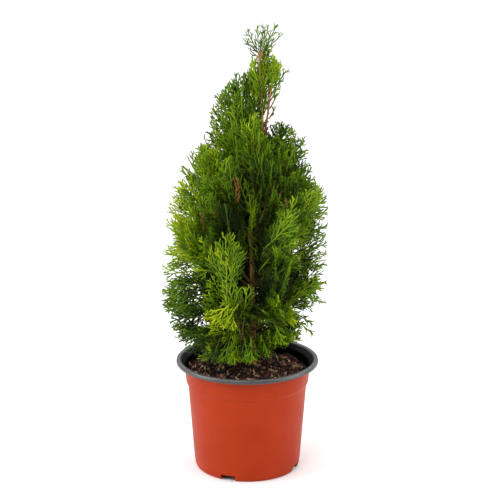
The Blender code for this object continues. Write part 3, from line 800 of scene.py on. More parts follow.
def boughLine(mass, count=41):          # from the trunk to the end of the mass's stem
    azimuth = mass["azimuth"]
    end = trunkCentres(mass["rise"]) + directions(azimuth) * 0.01
    _, _, reach = measured(end)
    endReach = mass["share"] * float(reach)
    foot = place(azimuth, trunkRadius(mass["foot"]) * 0.6, mass["foot"])
    bendHeight = mass["foot"] + crown["bendRise"] * (mass["rise"] - mass["foot"])
    bend = place(azimuth, crown["bendReach"] * endReach, bendHeight)
    return curved(foot, bend, place(azimuth, endReach, mass["rise"]), count)


def leaderLine():
    azimuth, reach, foot = sideLeader["azimuth"], sideLeader["reach"], sideLeader["foot"]
    start = place(azimuth, trunkRadius(foot) * 0.6, foot)
    bend = place(azimuth, 0.45 * reach, foot + 0.018)
    return curved(start, bend, place(azimuth, reach, sideLeader["tip"]), 25)


def tuftLine(tuft, route):
    onward = route[-1] - route[-2]
    onward = onward / np.linalg.norm(onward)
    end = place(tuft["azimuth"], tuft["reach"], tuft["rise"])
    return curved(route[-1], route[-1] + onward * tuft["onward"], end, 9)


def trunkLine():
    heights = np.concatenate([np.linspace(0.1208, 0.144, 40), np.linspace(0.1455, 0.486, 190)])
    return trunkCentres(heights), trunkRadius(heights)


# Tubes for wood

stemGrain = {"scale": 330.0, "stretch": (1, 1, 0.16), "grain": 3.0}
shootGrain = {"scale": 500.0, "stretch": (1, 1, 0.6), "grain": 2.0}
bark = {
    "trunkSides": 26,
    "boughSides": 12,
    "relief": 0.11,
    "frontLimb": (              # the limb that comes forward from the trunk, and its radii
        ((0.0052, 0.0010, 0.262), (0.0040, -0.0050, 0.275), (0.0018, -0.0120, 0.290),
         (0.0050, -0.0180, 0.310), (0.0077, -0.0200, 0.3285), (0.0066, -0.0225, 0.348),
         (0.0064, -0.0240, 0.3675), (0.0063, -0.0260, 0.394)),
        (0.0021, 0.0021, 0.0020, 0.0019, 0.0018, 0.0016, 0.0013, 0.0009)),
    "tipRadii": (0.0012, 0.0013, 0.0013, 0.0015, 0.0022, 0.0031, 0.0033, 0.0028, 0.0012),
    "tipLook": {
        **shootGrain, "heights": (0.486, 0.496), "relief": 0.6, "low": (150, 136, 50),
        "high": (184, 142, 88), "lowFurrow": (112, 96, 30), "highFurrow": (140, 98, 56),
    },
    "trunkLook": {
        **stemGrain, "heights": (0.24, 0.33), "relief": 0.9, "low": (192, 146, 76),
        "high": (146, 134, 46), "lowFurrow": (116, 80, 38), "highFurrow": (104, 88, 30),
    },
    "limbLook": {
        **stemGrain, "heights": (0.26, 0.30), "relief": 0.6, "low": (168, 126, 64),
        "high": (150, 156, 44), "lowFurrow": (112, 76, 38), "highFurrow": (112, 110, 30),
    },
    "leaderLook": {
        **stemGrain, "heights": (0.39, 0.46), "relief": 0.7, "low": (164, 104, 62),
        "high": (176, 106, 56), "lowFurrow": (112, 64, 36), "highFurrow": (130, 72, 36),
    },
    "boughLook": {
        "scale": 420.0, "stretch": (1, 1, 0.5), "grain": 3.0, "heights": (0.14, 0.34),
        "low": (130, 84, 48), "high": (140, 122, 48), "lowFurrow": (84, 48, 30),
        "highFurrow": (104, 84, 34), "relief": 0.7,
    },
    "twigLook": {
        **shootGrain, "heights": (0.14, 0.40), "relief": 0.4, "low": (100, 82, 34),
        "high": (94, 104, 28), "lowFurrow": (88, 54, 28), "highFurrow": (74, 78, 24),
    },
}
twig = {"sides": 5, "radius": 0.00078, "taper": 0.5, "alongRib": 0.45, "bend": 0.35}


def unit(vectors):
    return vectors / np.maximum(np.linalg.norm(vectors, axis=-1, keepdims=True), 1e-12)


def tubePoints(lines, radii, sides):            # lines (n, k, 3), radii (n, k)
    tangents = unit(np.gradient(lines, axis=1))
    steep = np.abs(tangents.mean(1)[:, 2]) > 0.85
    reference = np.where(steep[:, None], (1.0, 0.0, 0.0), (0.0, 0.0, 1.0))[:, None]
    across = unit(np.cross(tangents, reference))
    other = np.cross(tangents, across)
    angles = np.linspace(0, 2 * math.pi, sides, endpoint=False)
    ring = (across[:, :, None] * np.cos(angles)[:, None] + other[:, :, None] * np.sin(angles)[:, None])
    return lines[:, :, None] + ring * radii[..., None, None]


def tubeFaces(count, rings, sides):
    k = np.arange(sides)
    n = (k + 1) % sides
    base = np.arange(rings - 1)[:, None] * sides
    quads = np.stack([base + k, base + n, base + sides + n, base + sides + k], -1).reshape(-1, 4)
    fan = np.arange(1, sides - 1)
    first = np.stack([np.zeros_like(fan), fan + 1, fan], 1)
    last = (rings - 1) * sides
    top = np.stack([np.full_like(fan, last), last + fan, last + fan + 1], 1)
    triangles = np.concatenate([quads[:, :3], quads[:, [0, 2, 3]], first, top])
    return (np.arange(count)[:, None, None] * rings * sides + triangles[None]).reshape(-1, 3)


def smoothed(corners, radii):           # a limb through its corners, eased between them
    corners, radii = np.array(corners), np.array(radii)
    at = np.arange(len(corners))
    fine = np.linspace(0, len(corners) - 1, 57)
    near = np.clip(fine[:, None] + np.array((-0.6, -0.3, 0, 0.3, 0.6)), 0, len(corners) - 1)
    line = np.stack([np.interp(near, at, corners[:, k]).mean(1) for k in range(3)], 1)
    return line, np.interp(fine, at, radii)


def roughened(lines, points, amount, seed):     # ridges that run along the limb
    centre = lines[:, :, None]
    outward = points - centre
    flat = points.reshape(-1, 3)
    ridges = [noise.noise(Vector((x * 900 + seed, y * 900, z * 120))) +
              0.6 * noise.noise(Vector((x * 300, y * 300 + seed, z * 60))) for x, y, z in flat]
    return centre + outward * (1 + amount * np.array(ridges)).reshape(points.shape[:3])[..., None]


def woodPiece(name, lines, radii, sides, look, nodes, relief):
    lines, radii = np.asarray(lines), np.asarray(radii)
    points = tubePoints(lines, radii, sides)
    if relief:
        points = roughened(lines, points, relief, len(name))
    faces = tubeFaces(len(lines), lines.shape[1], sides)
    piece = meshPiece(name, points.reshape(-1, 3), faces, [woodyMaterial(name + "Bark", look)])
    handedOver(piece, nodes)


# Shoots: one row each in arrays, with point(s) = start + heading s + curve s s

palette = {
    "lime": (172, 188, 22),
    "bright": (140, 166, 14),
    "fresh": (110, 142, 9),
    "mid": (82, 114, 7),
    "deep": (54, 80, 5),
    "dark": (28, 44, 4),
    "cool": (64, 82, 26),
    "brown": (168, 114, 70),
}
darkest, cool, brown = (list(palette).index(name) for name in ("dark", "cool", "brown"))
leafLook = {"roughness": 0.42, "specular": 0.16}
deadSpots = (           # azimuth, spread, height, half width, half height, share that is dry
    (-33, 0.042, 0.354, 0.0046, 0.021, 0.50), (-52, 0.060, 0.319, 0.0120, 0.018, 0.16),
    (37, 0.050, 0.327, 0.0100, 0.016, 0.20), (150, 0.050, 0.250, 0.0044, 0.012, 0.55),
)
# depth sets the painted shade inside the crown; lightFrom, lightOver, darkFrom and darkOver set painted
# light towards shoot ends and outside, and painted shade within
toneShift = {
    "middle": 2.9, "patches": 1.9, "patchScale": 19.0, "depth": 3.4, "chance": 1.4,
    "lightFrom": 0.62, "lightOver": 0.25, "darkFrom": 0.76, "darkOver": 0.3,
}
tonePatches = (         # azimuth, height, width in degrees and metres, and the tint there
    (-20, 0.262, 14, 0.030, 1.4), (-34, 0.196, 14, 0.030, 0.0), (70, 0.186, 16, 0.022, 0.4),
    (-90, 0.285, 26, 0.060, 0.9), (-66, 0.345, 20, 0.040, 1.4), (62, 0.270, 16, 0.035, 1.4),
    (60, 0.480, 400, 0.038, 0.8), (95, 0.300, 20, 0.040, 1.6), (4, 0.265, 17, 0.060, 4.8),
    (-32, 0.310, 15, 0.035, 4.0), (24, 0.330, 14, 0.040, 3.8), (-80, 0.195, 24, 0.030, 4.0),
    (-6, 0.425, 30, 0.030, 2.4), (-8, 0.375, 24, 0.026, 1.8), (85, 0.385, 26, 0.030, 2.2),
    (-55, 0.405, 40, 0.034, 1.9), (0, 0.165, 60, 0.024, 2.0), (48, 0.372, 24, 0.034, 2.0),
)
growth = {
    "sprayShare": 0.82,
    "stemShare": 0.84,
    "innerShare": 0.45,
    "onward": 0.10,
    "widest": 1.05,         # shares of a mass's half width that fronds stand to either side
    "setBacks": (0, 0, 0.25, 0.5),
    "swing": 5,             # turns, climbs and rolls are in degrees
    "climbChance": 7,
    "sprayRolls": (6, 28),
    "extraChance": 15,
    "flatShare": 0.82,
    "flatRoll": 24,
    "turnedRolls": (40, 90),
    "innerShares": (0.08, 0.55),
    "innerClimbs": (50, 86),
    "skirtClimbs": (-12, 50),
    "innerRoll": 80,
    "lengths": (0.86, 1.10),
    "steepFrom": 20,        # from here a frond lifts more than it droops
    "steepLifts": (-1.2, 2.2),
    "levelLifts": (-3.5, 0.8),
    "sideCurve": 1.2,
    "ribWidth": 0.0020,
    "overlaps": (0.006, 0.034),
    "shortest": 0.014,
    "extras": dict(skirt=12, low=14, middle=13, upper=15, shoulder=15, side_leader=9),
    "inner": dict(skirt=8, low=8, middle=8, upper=8, shoulder=7, side_leader=0),
    "climbHeights": (0.13, 0.166, 0.21, 0.272, 0.34, 0.402, 0.48),
    "climbs": (-14, -4, 16, 40, 57, 71, 80),
    "slots": (              # left and right of the trunk's line, bottom, top and front, as seen
        (-0.0105, 0.0042, 0.202, 0.276, -0.012), (-0.0045, 0.0016, 0.276, 0.300, -0.016),
        (-0.0060, 0.0005, 0.300, 0.366, -0.022),
        (-0.0020, 0.0022, 0.400, 0.440, -0.001), (0.0060, 0.0115, 0.398, 0.468, -0.0035),
        (-0.0016, 0.0018, 0.468, 0.492, -0.001), (-0.0036, 0.0036, 0.490, 0.500, 0.001),
        (0.0085, 0.0360, 0.402, 0.426, 0.1), (0.0360, 0.0600, 0.390, 0.426, 0.1),
        (-0.0790, -0.0620, 0.214, 0.226, 0.1), (-0.0780, -0.0600, 0.195, 0.207, 0.1),
        (-0.0740, -0.0560, 0.176, 0.188, 0.1), (0.0300, 0.0335, 0.232, 0.234, 0.1),
        (0.0090, 0.0180, 0.172, 0.178, 0.1), (0.0460, 0.0550, 0.261, 0.267, 0.1),
        (0.0710, 0.0770, 0.257, 0.261, 0.1), (0.0660, 0.0770, 0.205, 0.212, 0.1),
        (0.0520, 0.0630, 0.186, 0.193, 0.1), (0.0720, 0.0820, 0.290, 0.297, 0.1),
    ),
    "airyHeights": (0.345, 0.365, 0.385, 0.405, 0.435, 0.455, 0.475, 0.490),
    "airyLeft": (1.00, 0.96, 0.88, 0.86, 0.84, 0.74, 0.70, 1.00),   # shares of the reach there
    "airyRight": (1.00, 0.95, 0.84, 0.66, 0.60, 1.00, 1.00, 1.00),
    "bare": (               # left, right, bottom and top of what stays open down to the soil
        (-0.066, 0.004, 0.0, 0.1290), (0.004, 0.031, 0.0, 0.1330), (0.031, 0.050, 0.0, 0.1490),
        (0.050, 0.090, 0.0, 0.1560), (-0.110, -0.078, 0.0, 0.1540), (-0.078, -0.066, 0.0, 0.1400),
    ),
    "ragged": 0.0035,
    "sightSlope": 0.268,
    "reachShares": (0.72, 1.06),
    "fewer": 1.5,
    "mostReach": 1.35,
    "soilClear": 0.1255,
    "insidePot": 0.0700,
    "rimClear": 0.1375,
    "boxLow": (-0.1024, -0.0874, 0.124),
    "boxHigh": (0.0950, 0.0908, 0.5350),
}
leaderSet = dict(seed=903, count=34, heights=(0.400, 0.484), blades=(0.022, 0.042),
                 climbs=(62, 86), azimuths=((-160, -50), (50, 170)))
baseSets = (
    dict(seed=904, count=14, heights=(0.130, 0.168), blades=(0.045, 0.068), climbs=(-10, 34),
         azimuths=((-180, -80), (80, 180))),
    dict(seed=907, count=44, heights=(0.150, 0.345), blades=(0.040, 0.070), climbs=(10, 78),
         azimuths=((105, 175), (-175, -105))),
    dict(seed=908, count=26, heights=(0.132, 0.200), blades=(0.030, 0.052), climbs=(-6, 60),
         azimuths=((-80, -8), (10, 80), (100, 260))),
    dict(seed=911, count=12, heights=(0.135, 0.178), blades=(0.030, 0.050), climbs=(0, 50),
         azimuths=((140, 220),)),
)
stemSet = dict(seed=910, count=30, heights=(0.426, 0.476), blades=(0.014, 0.024),
               climbs=(58, 84), azimuths=((-150, -20), (20, 150), (-60, 60)))
strandSet = dict(seed=906, count=120, heights=(0.150, 0.395), shares=(0.14, 0.60),
                 blades=(0.070, 0.125), steeper=(4, 26), rolls=(-50, 50), reach=(0.86, 1.08))
spikeSet = dict(seed=909, count=46, heights=(0.325, 0.425), shares=(0.40, 0.72),
                blades=(0.030, 0.046), steeper=(2, 16), rolls=(-40, 40), reach=(1.06, 1.22))
spikes = (              # narrow ones that stand out alone along the edges
    ((-0.0100, 0.000, 0.448), (-0.15, 0.00, 0.99), (0.2, -1, 0), 0.030, 3),
    ((-0.0004, 0.002, 0.448), (-0.05, 0.00, 1.00), (0, -1, 0), 0.026, 3),
    ((-0.0010, -0.002, 0.442), (-0.20, 0.00, 0.98), (0.3, -1, 0), 0.026, 3),
    ((-0.0096, 0.002, 0.435), (-0.40, 0.00, 0.92), (0, -1, 0.1), 0.032, 3),
    ((-0.0077, -0.003, 0.434), (-0.30, 0.00, 0.95), (0.2, -1, 0), 0.030, 2),
    ((-0.0110, 0.000, 0.428), (-0.50, 0.00, 0.87), (0, -1, 0), 0.032, 2),
    ((-0.0158, 0.003, 0.423), (-0.60, 0.00, 0.80), (0, -1, 0), 0.034, 4),
    ((-0.0187, 0.000, 0.408), (-0.65, 0.00, 0.76), (0, -1, 0.1), 0.034, 3),
    ((-0.0211, -0.003, 0.396), (-0.70, 0.00, 0.71), (0, -1, 0), 0.032, 3),
    ((-0.0240, 0.002, 0.386), (-0.70, 0.00, 0.71), (0, -1, 0), 0.030, 4),
    ((-0.0405, 0.000, 0.3635), (-0.45, 0.00, 0.89), (0.1, -1, 0), 0.032, 3),
    ((-0.0376, -0.003, 0.3595), (-0.30, 0.00, 0.95), (0, -1, 0), 0.030, 3),
    ((-0.0566, 0.000, 0.339), (-0.50, 0.00, 0.87), (0, -1, 0.1), 0.032, 3),
    ((-0.0476, 0.003, 0.350), (-0.40, 0.00, 0.92), (0, -1, 0), 0.030, 2),
    ((-0.0609, 0.000, 0.322), (-0.55, 0.00, 0.84), (0, -1, 0), 0.034, 2),
    ((-0.0643, -0.002, 0.318), (-0.60, 0.00, 0.80), (0.1, -1, 0), 0.033, 1),
    ((-0.0560, 0.000, 0.339), (-0.62, 0.00, 0.78), (0, -1, 0), 0.034, 2),
    ((-0.0660, 0.002, 0.2936), (-0.75, 0.00, 0.66), (0, -1, 0.1), 0.034, 1),
    ((-0.0670, 0.000, 0.281), (-0.80, 0.00, 0.60), (0, -1, 0), 0.034, 1),
    ((-0.0690, 0.000, 0.2215), (-0.97, 0.00, -0.10), (0, -1, 0.1), 0.034, 2),
    ((-0.0690, 0.002, 0.203), (-0.96, 0.00, -0.20), (0, -1, 0.1), 0.034, 3),
    ((0.0290, 0.000, 0.386), (0.30, 0.00, 0.95), (0.1, -1, 0), 0.036, 3),
    ((0.0324, -0.002, 0.383), (0.40, 0.00, 0.92), (0, -1, 0.1), 0.036, 4),
    ((0.0350, 0.002, 0.380), (0.50, 0.00, 0.87), (0, -1, 0), 0.036, 4),
    ((0.0390, 0.000, 0.374), (0.52, 0.00, 0.86), (0.1, -1, 0), 0.034, 3),
    ((0.0442, 0.000, 0.3686), (0.60, 0.00, 0.80), (0, -1, 0), 0.038, 3),
    ((0.0423, -0.003, 0.3614), (0.70, 0.00, 0.71), (0, -1, 0.1), 0.036, 4),
    ((0.0493, 0.000, 0.3437), (0.65, 0.00, 0.76), (0, -1, 0), 0.034, 3),
    ((0.0512, 0.002, 0.340), (0.70, 0.00, 0.71), (0, -1, 0), 0.034, 3),
    ((0.0600, 0.000, 0.318), (0.74, 0.00, 0.67), (0, -1, 0.1), 0.034, 3),
    ((0.0656, 0.000, 0.299), (0.85, 0.00, 0.50), (0, -1, 0), 0.034, 2),
    ((0.0640, 0.002, 0.282), (0.90, 0.00, 0.42), (0, -1, 0), 0.034, 3),
    ((0.0627, 0.000, 0.265), (0.95, 0.00, 0.30), (0, -1, 0.1), 0.034, 3),
    ((0.0620, 0.001, 0.256), (0.97, 0.00, 0.20), (0, -1, 0), 0.034, 2),
    ((0.0262, 0.000, 0.444), (0.50, 0.00, 0.86), (0, -1, 0), 0.024, 2),
    ((0.0265, -0.004, 0.437), (0.45, 0.00, 0.89), (0, -1, 0.1), 0.020, 3),
    ((0.0255, -0.003, 0.425), (0.50, 0.00, 0.87), (0, -1, 0), 0.017, 3),
    ((0.0250, -0.002, 0.430), (-0.25, 0.00, 0.97), (0, -1, 0), 0.018, 2),
    ((0.0310, 0.000, 0.458), (0.54, 0.00, 0.84), (0, -1, 0.1), 0.026, 3),
    ((0.0610, 0.000, 0.244), (0.98, 0.00, 0.15), (0, -1, 0), 0.034, 3),
    ((0.0610, -0.002, 0.230), (0.98, 0.00, -0.05), (0, -1, 0), 0.034, 4),
    ((0.0594, 0.000, 0.214), (0.95, 0.00, -0.30), (0, -1, 0.1), 0.034, 3),
    ((0.0520, 0.000, 0.212), (0.80, 0.00, -0.60), (0, -1, 0.1), 0.032, 3),
    ((0.0550, 0.000, 0.184), (0.76, 0.00, -0.65), (0, -1, 0.1), 0.032, 2),
    ((0.0500, -0.004, 0.196), (0.84, 0.00, -0.54), (0, -1, 0.1), 0.034, 3),
    ((0.0046, -0.0200, 0.288), (0.06, -0.16, 0.98), (0.2, -1, 0), 0.036, 1),
    ((0.0052, -0.0210, 0.300), (0.16, -0.14, 0.98), (0.1, -1, 0), 0.034, 1),
    ((0.0050, -0.0215, 0.310), (-0.08, -0.14, 0.98), (0.1, -1, 0), 0.032, 1),
)
tipShoots = (           # root, heading, the way it faces, length and tint
    ((0.0145, 0.0000, 0.4960), (-0.46, 0.10, 0.89), (0, -1, 0), 0.037, 3),
    ((0.0110, 0.0020, 0.5010), (-0.72, -0.15, 0.69), (0, -1, 0), 0.024, 3),
    ((0.0140, -0.0010, 0.4970), (-0.09, -0.15, 0.99), (0.3, -1, 0), 0.034, 2),
    ((0.0148, 0.0010, 0.4965), (0.12, 0.12, 0.99), (-0.3, -1, 0), 0.034, 3),
    ((0.0150, 0.0000, 0.4960), (0.26, -0.18, 0.96), (0, -1, 0), 0.036, 2),
    ((0.0152, 0.0000, 0.4955), (0.47, 0.05, 0.88), (0, -1, 0), 0.041, 3),
    ((0.0160, 0.0010, 0.4990), (0.76, -0.06, 0.68), (0, -1, 0.2), 0.035, 3),
    ((0.0160, 0.0000, 0.4940), (0.84, 0.08, 0.52), (0, -1, 0.2), 0.018, 3),
    ((0.0135, 0.0010, 0.4940), (-0.78, 0.05, 0.62), (0, -1, 0), 0.014, 3),
    ((0.0148, 0.0015, 0.4960), (0.05, 0.62, 0.78), (1, 0, 0.2), 0.026, 3),
    ((0.0148, -0.0015, 0.4950), (-0.10, -0.55, 0.83), (1, 0, 0.2), 0.025, 3),
    ((0.0150, 0.0015, 0.4930), (0.45, 0.50, 0.74), (1, -1, 0), 0.022, 4),
)
shown = (
    ((-0.023, -0.070, 0.234), (-0.02, -0.05, 1.0), (0.1, -1, 0.2), 0.068, 2),
    ((-0.026, -0.067, 0.238), (-0.22, -0.02, 0.97), (-0.1, -1, 0.2), 0.050, 2),
    ((-0.020, -0.068, 0.236), (0.10, -0.06, 0.99), (0.2, -1, 0.1), 0.052, 2),
    ((-0.036, -0.044, 0.168), (-0.70, -0.50, -0.50), (0, -0.8, 0.6), 0.040, 4),
    ((-0.024, -0.050, 0.168), (-0.45, -0.50, -0.72), (0, -0.8, 0.6), 0.036, 4),
    ((-0.040, -0.030, 0.160), (-0.90, -0.20, -0.25), (0, -0.6, 0.8), 0.040, 5),
    ((-0.008, -0.048, 0.170), (0.02, -0.40, -0.92), (0, -0.9, 0.4), 0.036, 4),
    ((0.0120, -0.004, 0.404), (-0.40, -0.05, 0.91), (0, -1, 0.1), 0.036, 2),
    ((0.0125, -0.003, 0.412), (-0.28, -0.05, 0.96), (0.1, -1, 0), 0.034, 3),
    ((0.0110, -0.004, 0.396), (-0.55, -0.05, 0.83), (0, -1, 0), 0.036, 3),
    ((0.0130, -0.003, 0.424), (-0.30, 0.00, 0.95), (0, -1, 0), 0.030, 2),
    ((-0.010, -0.066, 0.222), (-0.50, -0.20, -0.80), (0, -1, 0.3), 0.050, 0),
    ((-0.014, -0.064, 0.226), (-0.70, -0.20, -0.60), (0, -1, 0.4), 0.034, 0),
    ((-0.040, -0.058, 0.258), (-0.75, -0.3, 0.15), (0, -1, 0.5), 0.026, 1),
    ((-0.012, -0.064, 0.205), (-0.25, -0.15, 1.0), (0, -1, 0.3), 0.044, 2),
    ((-0.004, -0.060, 0.200), (0.10, -0.15, 1.0), (0.2, -1, 0.2), 0.040, 2),
    ((0.021, -0.062, 0.287), (0.68, -0.15, 0.70), (0.1, -1, 0.2), 0.060, 2),
    ((0.016, -0.060, 0.262), (0.62, -0.10, 0.78), (0.1, -1, 0.2), 0.062, 3),
    ((0.030, -0.056, 0.300), (0.55, -0.10, 0.83), (0.1, -1, 0.2), 0.050, 2),
    ((0.050, -0.045, 0.203), (0.48, -0.20, -0.85), (0.1, -1, 0.3), 0.046, 0),
    ((0.062, -0.020, 0.223), (0.88, -0.1, -0.45), (0, -1, 0.3), 0.034, 2),
    ((0.030, -0.052, 0.196), (0.45, -0.20, -0.88), (0, -1, 0.3), 0.034, 2),
    ((-0.014, -0.050, 0.176), (-0.15, -0.35, -0.90), (0, -0.9, 0.4), 0.038, 2),
    ((-0.004, -0.052, 0.178), (0.20, -0.35, -0.90), (0, -0.9, 0.4), 0.038, 3),
    ((0.018, -0.045, 0.172), (0.30, -0.30, -0.90), (0, -0.9, 0.4), 0.036, 2),
    ((-0.032, -0.048, 0.172), (-0.35, -0.45, -0.80), (0, -0.8, 0.6), 0.040, 4),
    ((-0.039, -0.040, 0.170), (-0.85, -0.25, -0.35), (0, -0.6, 0.8), 0.046, 5),
    ((-0.030, -0.045, 0.165), (-0.55, -0.50, -0.45), (0, -0.8, 0.6), 0.042, 4),
    ((-0.042, 0.000, 0.243), (-0.98, 0.00, -0.05), (0, -1, 0.2), 0.062, 2),
    ((-0.040, -0.010, 0.230), (-0.99, 0.02, -0.16), (0, -1, 0.2), 0.066, 3),
    ((-0.040, 0.005, 0.215), (-0.97, 0.05, -0.23), (0, -1, 0.2), 0.066, 3),
    ((-0.036, -0.008, 0.200), (-0.92, 0.00, -0.38), (0, -1, 0.2), 0.060, 4),
    ((-0.034, -0.020, 0.186), (-0.88, -0.10, -0.46), (0, -1, 0.3), 0.054, 4),
    ((-0.050, 0.000, 0.300), (-0.74, 0.00, 0.67), (0, -1, 0.1), 0.066, 1),
    ((-0.052, 0.012, 0.270), (-0.88, 0.00, 0.42), (0, -1, 0.1), 0.060, 1),
    ((0.048, 0.010, 0.277), (0.94, 0.00, 0.32), (0, -1, 0.1), 0.054, 2),
    ((0.050, -0.005, 0.250), (0.98, 0.00, 0.12), (0, -1, 0.1), 0.050, 3),
    ((0.050, 0.005, 0.225), (0.99, 0.00, -0.12), (0, -1, 0.1), 0.050, 3),
    ((0.0066, -0.0235, 0.352), (-0.14, -0.10, 0.98), (0.5, -0.85, 0), 0.058, 2),
    ((0.0064, -0.0240, 0.364), (0.10, -0.12, 0.98), (-0.4, -0.9, 0), 0.048, 2),
    ((0.0063, -0.0250, 0.376), (-0.05, -0.08, 0.99), (0.2, -1, 0), 0.042, 1),
    ((0.0070, -0.0230, 0.340), (0.24, -0.16, 0.95), (-0.1, -1, 0.1), 0.056, 2),
    ((0.0063, -0.0260, 0.390), (-0.20, -0.04, 0.97), (0, -1, 0), 0.032, 2),
    ((0.0063, -0.0260, 0.392), (0.12, 0.02, 0.99), (0.3, -1, 0), 0.034, 2),
    ((0.0050, -0.0200, 0.312), (-0.30, -0.24, 0.92), (0.1, -1, 0.2), 0.054, 3),
    ((0.0076, -0.0215, 0.326), (0.32, -0.26, 0.91), (-0.1, -1, 0.2), 0.054, 3),
    ((-0.044, 0.004, 0.332), (-0.50, 0.00, 0.87), (0, -1, 0.1), 0.055, 2),
    ((-0.045, -0.006, 0.313), (-0.60, 0.00, 0.80), (0, -1, 0.1), 0.055, 1),
    ((-0.045, 0.002, 0.303), (-0.68, 0.00, 0.73), (0, -1, 0.1), 0.055, 2),
    ((-0.046, -0.002, 0.286), (-0.75, 0.00, 0.66), (0, -1, 0.1), 0.055, 1),
    ((-0.032, -0.004, 0.354), (-0.50, 0.00, 0.87), (0.1, -1, 0), 0.045, 2),
    ((-0.030, 0.004, 0.346), (-0.35, 0.00, 0.94), (-0.1, -1, 0), 0.045, 3),
    ((-0.0044, -0.004, 0.438), (-0.25, 0.00, 0.97), (0.1, -1, 0), 0.040, 3),
    ((0.0025, 0.004, 0.438), (-0.12, 0.00, 0.99), (-0.2, -1, 0), 0.034, 3),
    ((-0.0084, -0.003, 0.426), (-0.35, 0.00, 0.94), (0, -1, 0), 0.040, 2),
    ((-0.010, 0.005, 0.420), (-0.42, 0.00, 0.91), (0, -1, 0.1), 0.040, 3),
    ((-0.015, -0.004, 0.414), (-0.50, 0.00, 0.87), (0, -1, 0), 0.042, 2),
    ((-0.018, 0.004, 0.400), (-0.55, 0.00, 0.83), (0, -1, 0.1), 0.042, 3),
    ((-0.019, -0.004, 0.388), (-0.60, 0.00, 0.80), (0, -1, 0), 0.040, 2),
    ((-0.019, 0.002, 0.379), (-0.66, 0.00, 0.75), (0, -1, 0.1), 0.038, 3),
    ((0.025, -0.003, 0.381), (0.35, 0.00, 0.94), (0.1, -1, 0), 0.042, 3),
    ((0.029, 0.004, 0.378), (0.42, 0.00, 0.91), (0, -1, 0), 0.042, 3),
    ((0.031, -0.002, 0.374), (0.50, 0.00, 0.87), (0, -1, 0.1), 0.042, 2),
    ((0.040, 0.003, 0.363), (0.60, 0.00, 0.80), (0, -1, 0), 0.046, 3),
    ((0.036, -0.004, 0.340), (0.50, 0.00, 0.87), (0, -1, 0.1), 0.055, 3),
    ((0.041, 0.004, 0.317), (0.60, 0.00, 0.80), (0, -1, 0.1), 0.057, 3),
    ((0.050, -0.002, 0.304), (0.70, 0.00, 0.71), (0, -1, 0), 0.056, 2),
    ((0.051, 0.003, 0.296), (0.80, 0.00, 0.60), (0, -1, 0.1), 0.055, 3),
    ((-0.040, -0.012, 0.212), (-0.98, -0.03, -0.22), (0, -1, 0.2), 0.064, 3),
    ((-0.042, 0.004, 0.225), (-0.99, 0.00, -0.30), (0, -1, 0.2), 0.062, 4),
    ((-0.044, -0.006, 0.262), (-0.96, 0.00, 0.20), (0, -1, 0.2), 0.060, 1),
    ((-0.043, 0.006, 0.255), (-0.98, 0.00, 0.06), (0, -1, 0.2), 0.062, 2),
    ((-0.038, 0.000, 0.205), (-0.97, 0.02, -0.16), (0, -1, 0.2), 0.068, 3),
    ((-0.036, 0.006, 0.192), (-0.93, 0.02, -0.20), (0, -1, 0.3), 0.066, 4),
    ((0.004, -0.052, 0.177), (0.06, -0.35, -0.92), (0, -0.9, 0.4), 0.037, 2),
    ((-0.020, -0.050, 0.175), (-0.20, -0.38, -0.88), (0, -0.9, 0.4), 0.036, 3),
)
sideRule = {
    "spacing": 0.0051, "from": 0.08, "to": 0.95, "share": 0.46, "extra": 0.003,
    "at": (0, 0.15, 0.4, 0.7, 1), "shares": (0.6, 0.95, 1, 0.66, 0.14),
    "angles": (40, 27), "angleChance": 4, "tilt": 0.04, "roll": 0.12, "bend": 0.32,
    # lighter and darker are chances of a step of painted light towards the ends and painted shade within
    "width": 0.0016, "reachChance": (0.88, 1.00), "lighter": 0.40, "darker": 0.9,
    "shortest": 0.004,
}
twigletRule = {
    "spacing": 0.0043, "from": 0.14, "to": 0.95, "share": 0.46, "extra": 0.0028,
    "at": (0, 0.2, 0.6, 1), "shares": (0.8, 1, 0.7, 0.2),
    "angles": (33, 25), "angleChance": 4, "tilt": 0.05, "roll": 0.16, "bend": 0.26,
    # lighter and darker are chances of a step of painted light towards the ends and painted shade within
    "width": 0.0015, "reachChance": (0.96, 1.02), "lighter": 0.5, "darker": 0.7,
    "shortest": 0.0026,
}
nubRule = {
    "spacing": 0.0048, "from": 0.25, "to": 0.85, "share": 0.28, "extra": 0.0022,
    "at": (0, 0.5, 1), "shares": (1, 0.8, 0.3),
    "angles": (28, 22), "angleChance": 5, "tilt": 0.06, "roll": 0.18, "bend": 0.1,
    "width": 0.0013, "reachChance": (0.98, 1.02), "shortest": 0.0018, "onLonger": 0.0085,
}
narrower = {"strands": 0.80, "spikes": 0.42, "tip": 0.38}   # against the side shoots' full share
thinner = {"spikes": 0.88, "tip": 0.72}


def pick(shoots, kept):
    return {key: values[kept] for key, values in shoots.items()}


def together(groups):
    return {key: np.concatenate([group[key] for group in groups]) for key in groups[0]}


def pointsAt(shoots, t):                # t is (k,) or (n, k)
    s = shoots["length"][:, None] * t
    return (shoots["start"][:, None] + shoots["heading"][:, None] * s[..., None]
            + shoots["curve"][:, None] * (s ** 2)[..., None])


def headingsAt(shoots, t):
    s = shoots["length"][:, None] * t
    return unit(shoots["heading"][:, None] + 2 * shoots["curve"][:, None] * s[..., None])


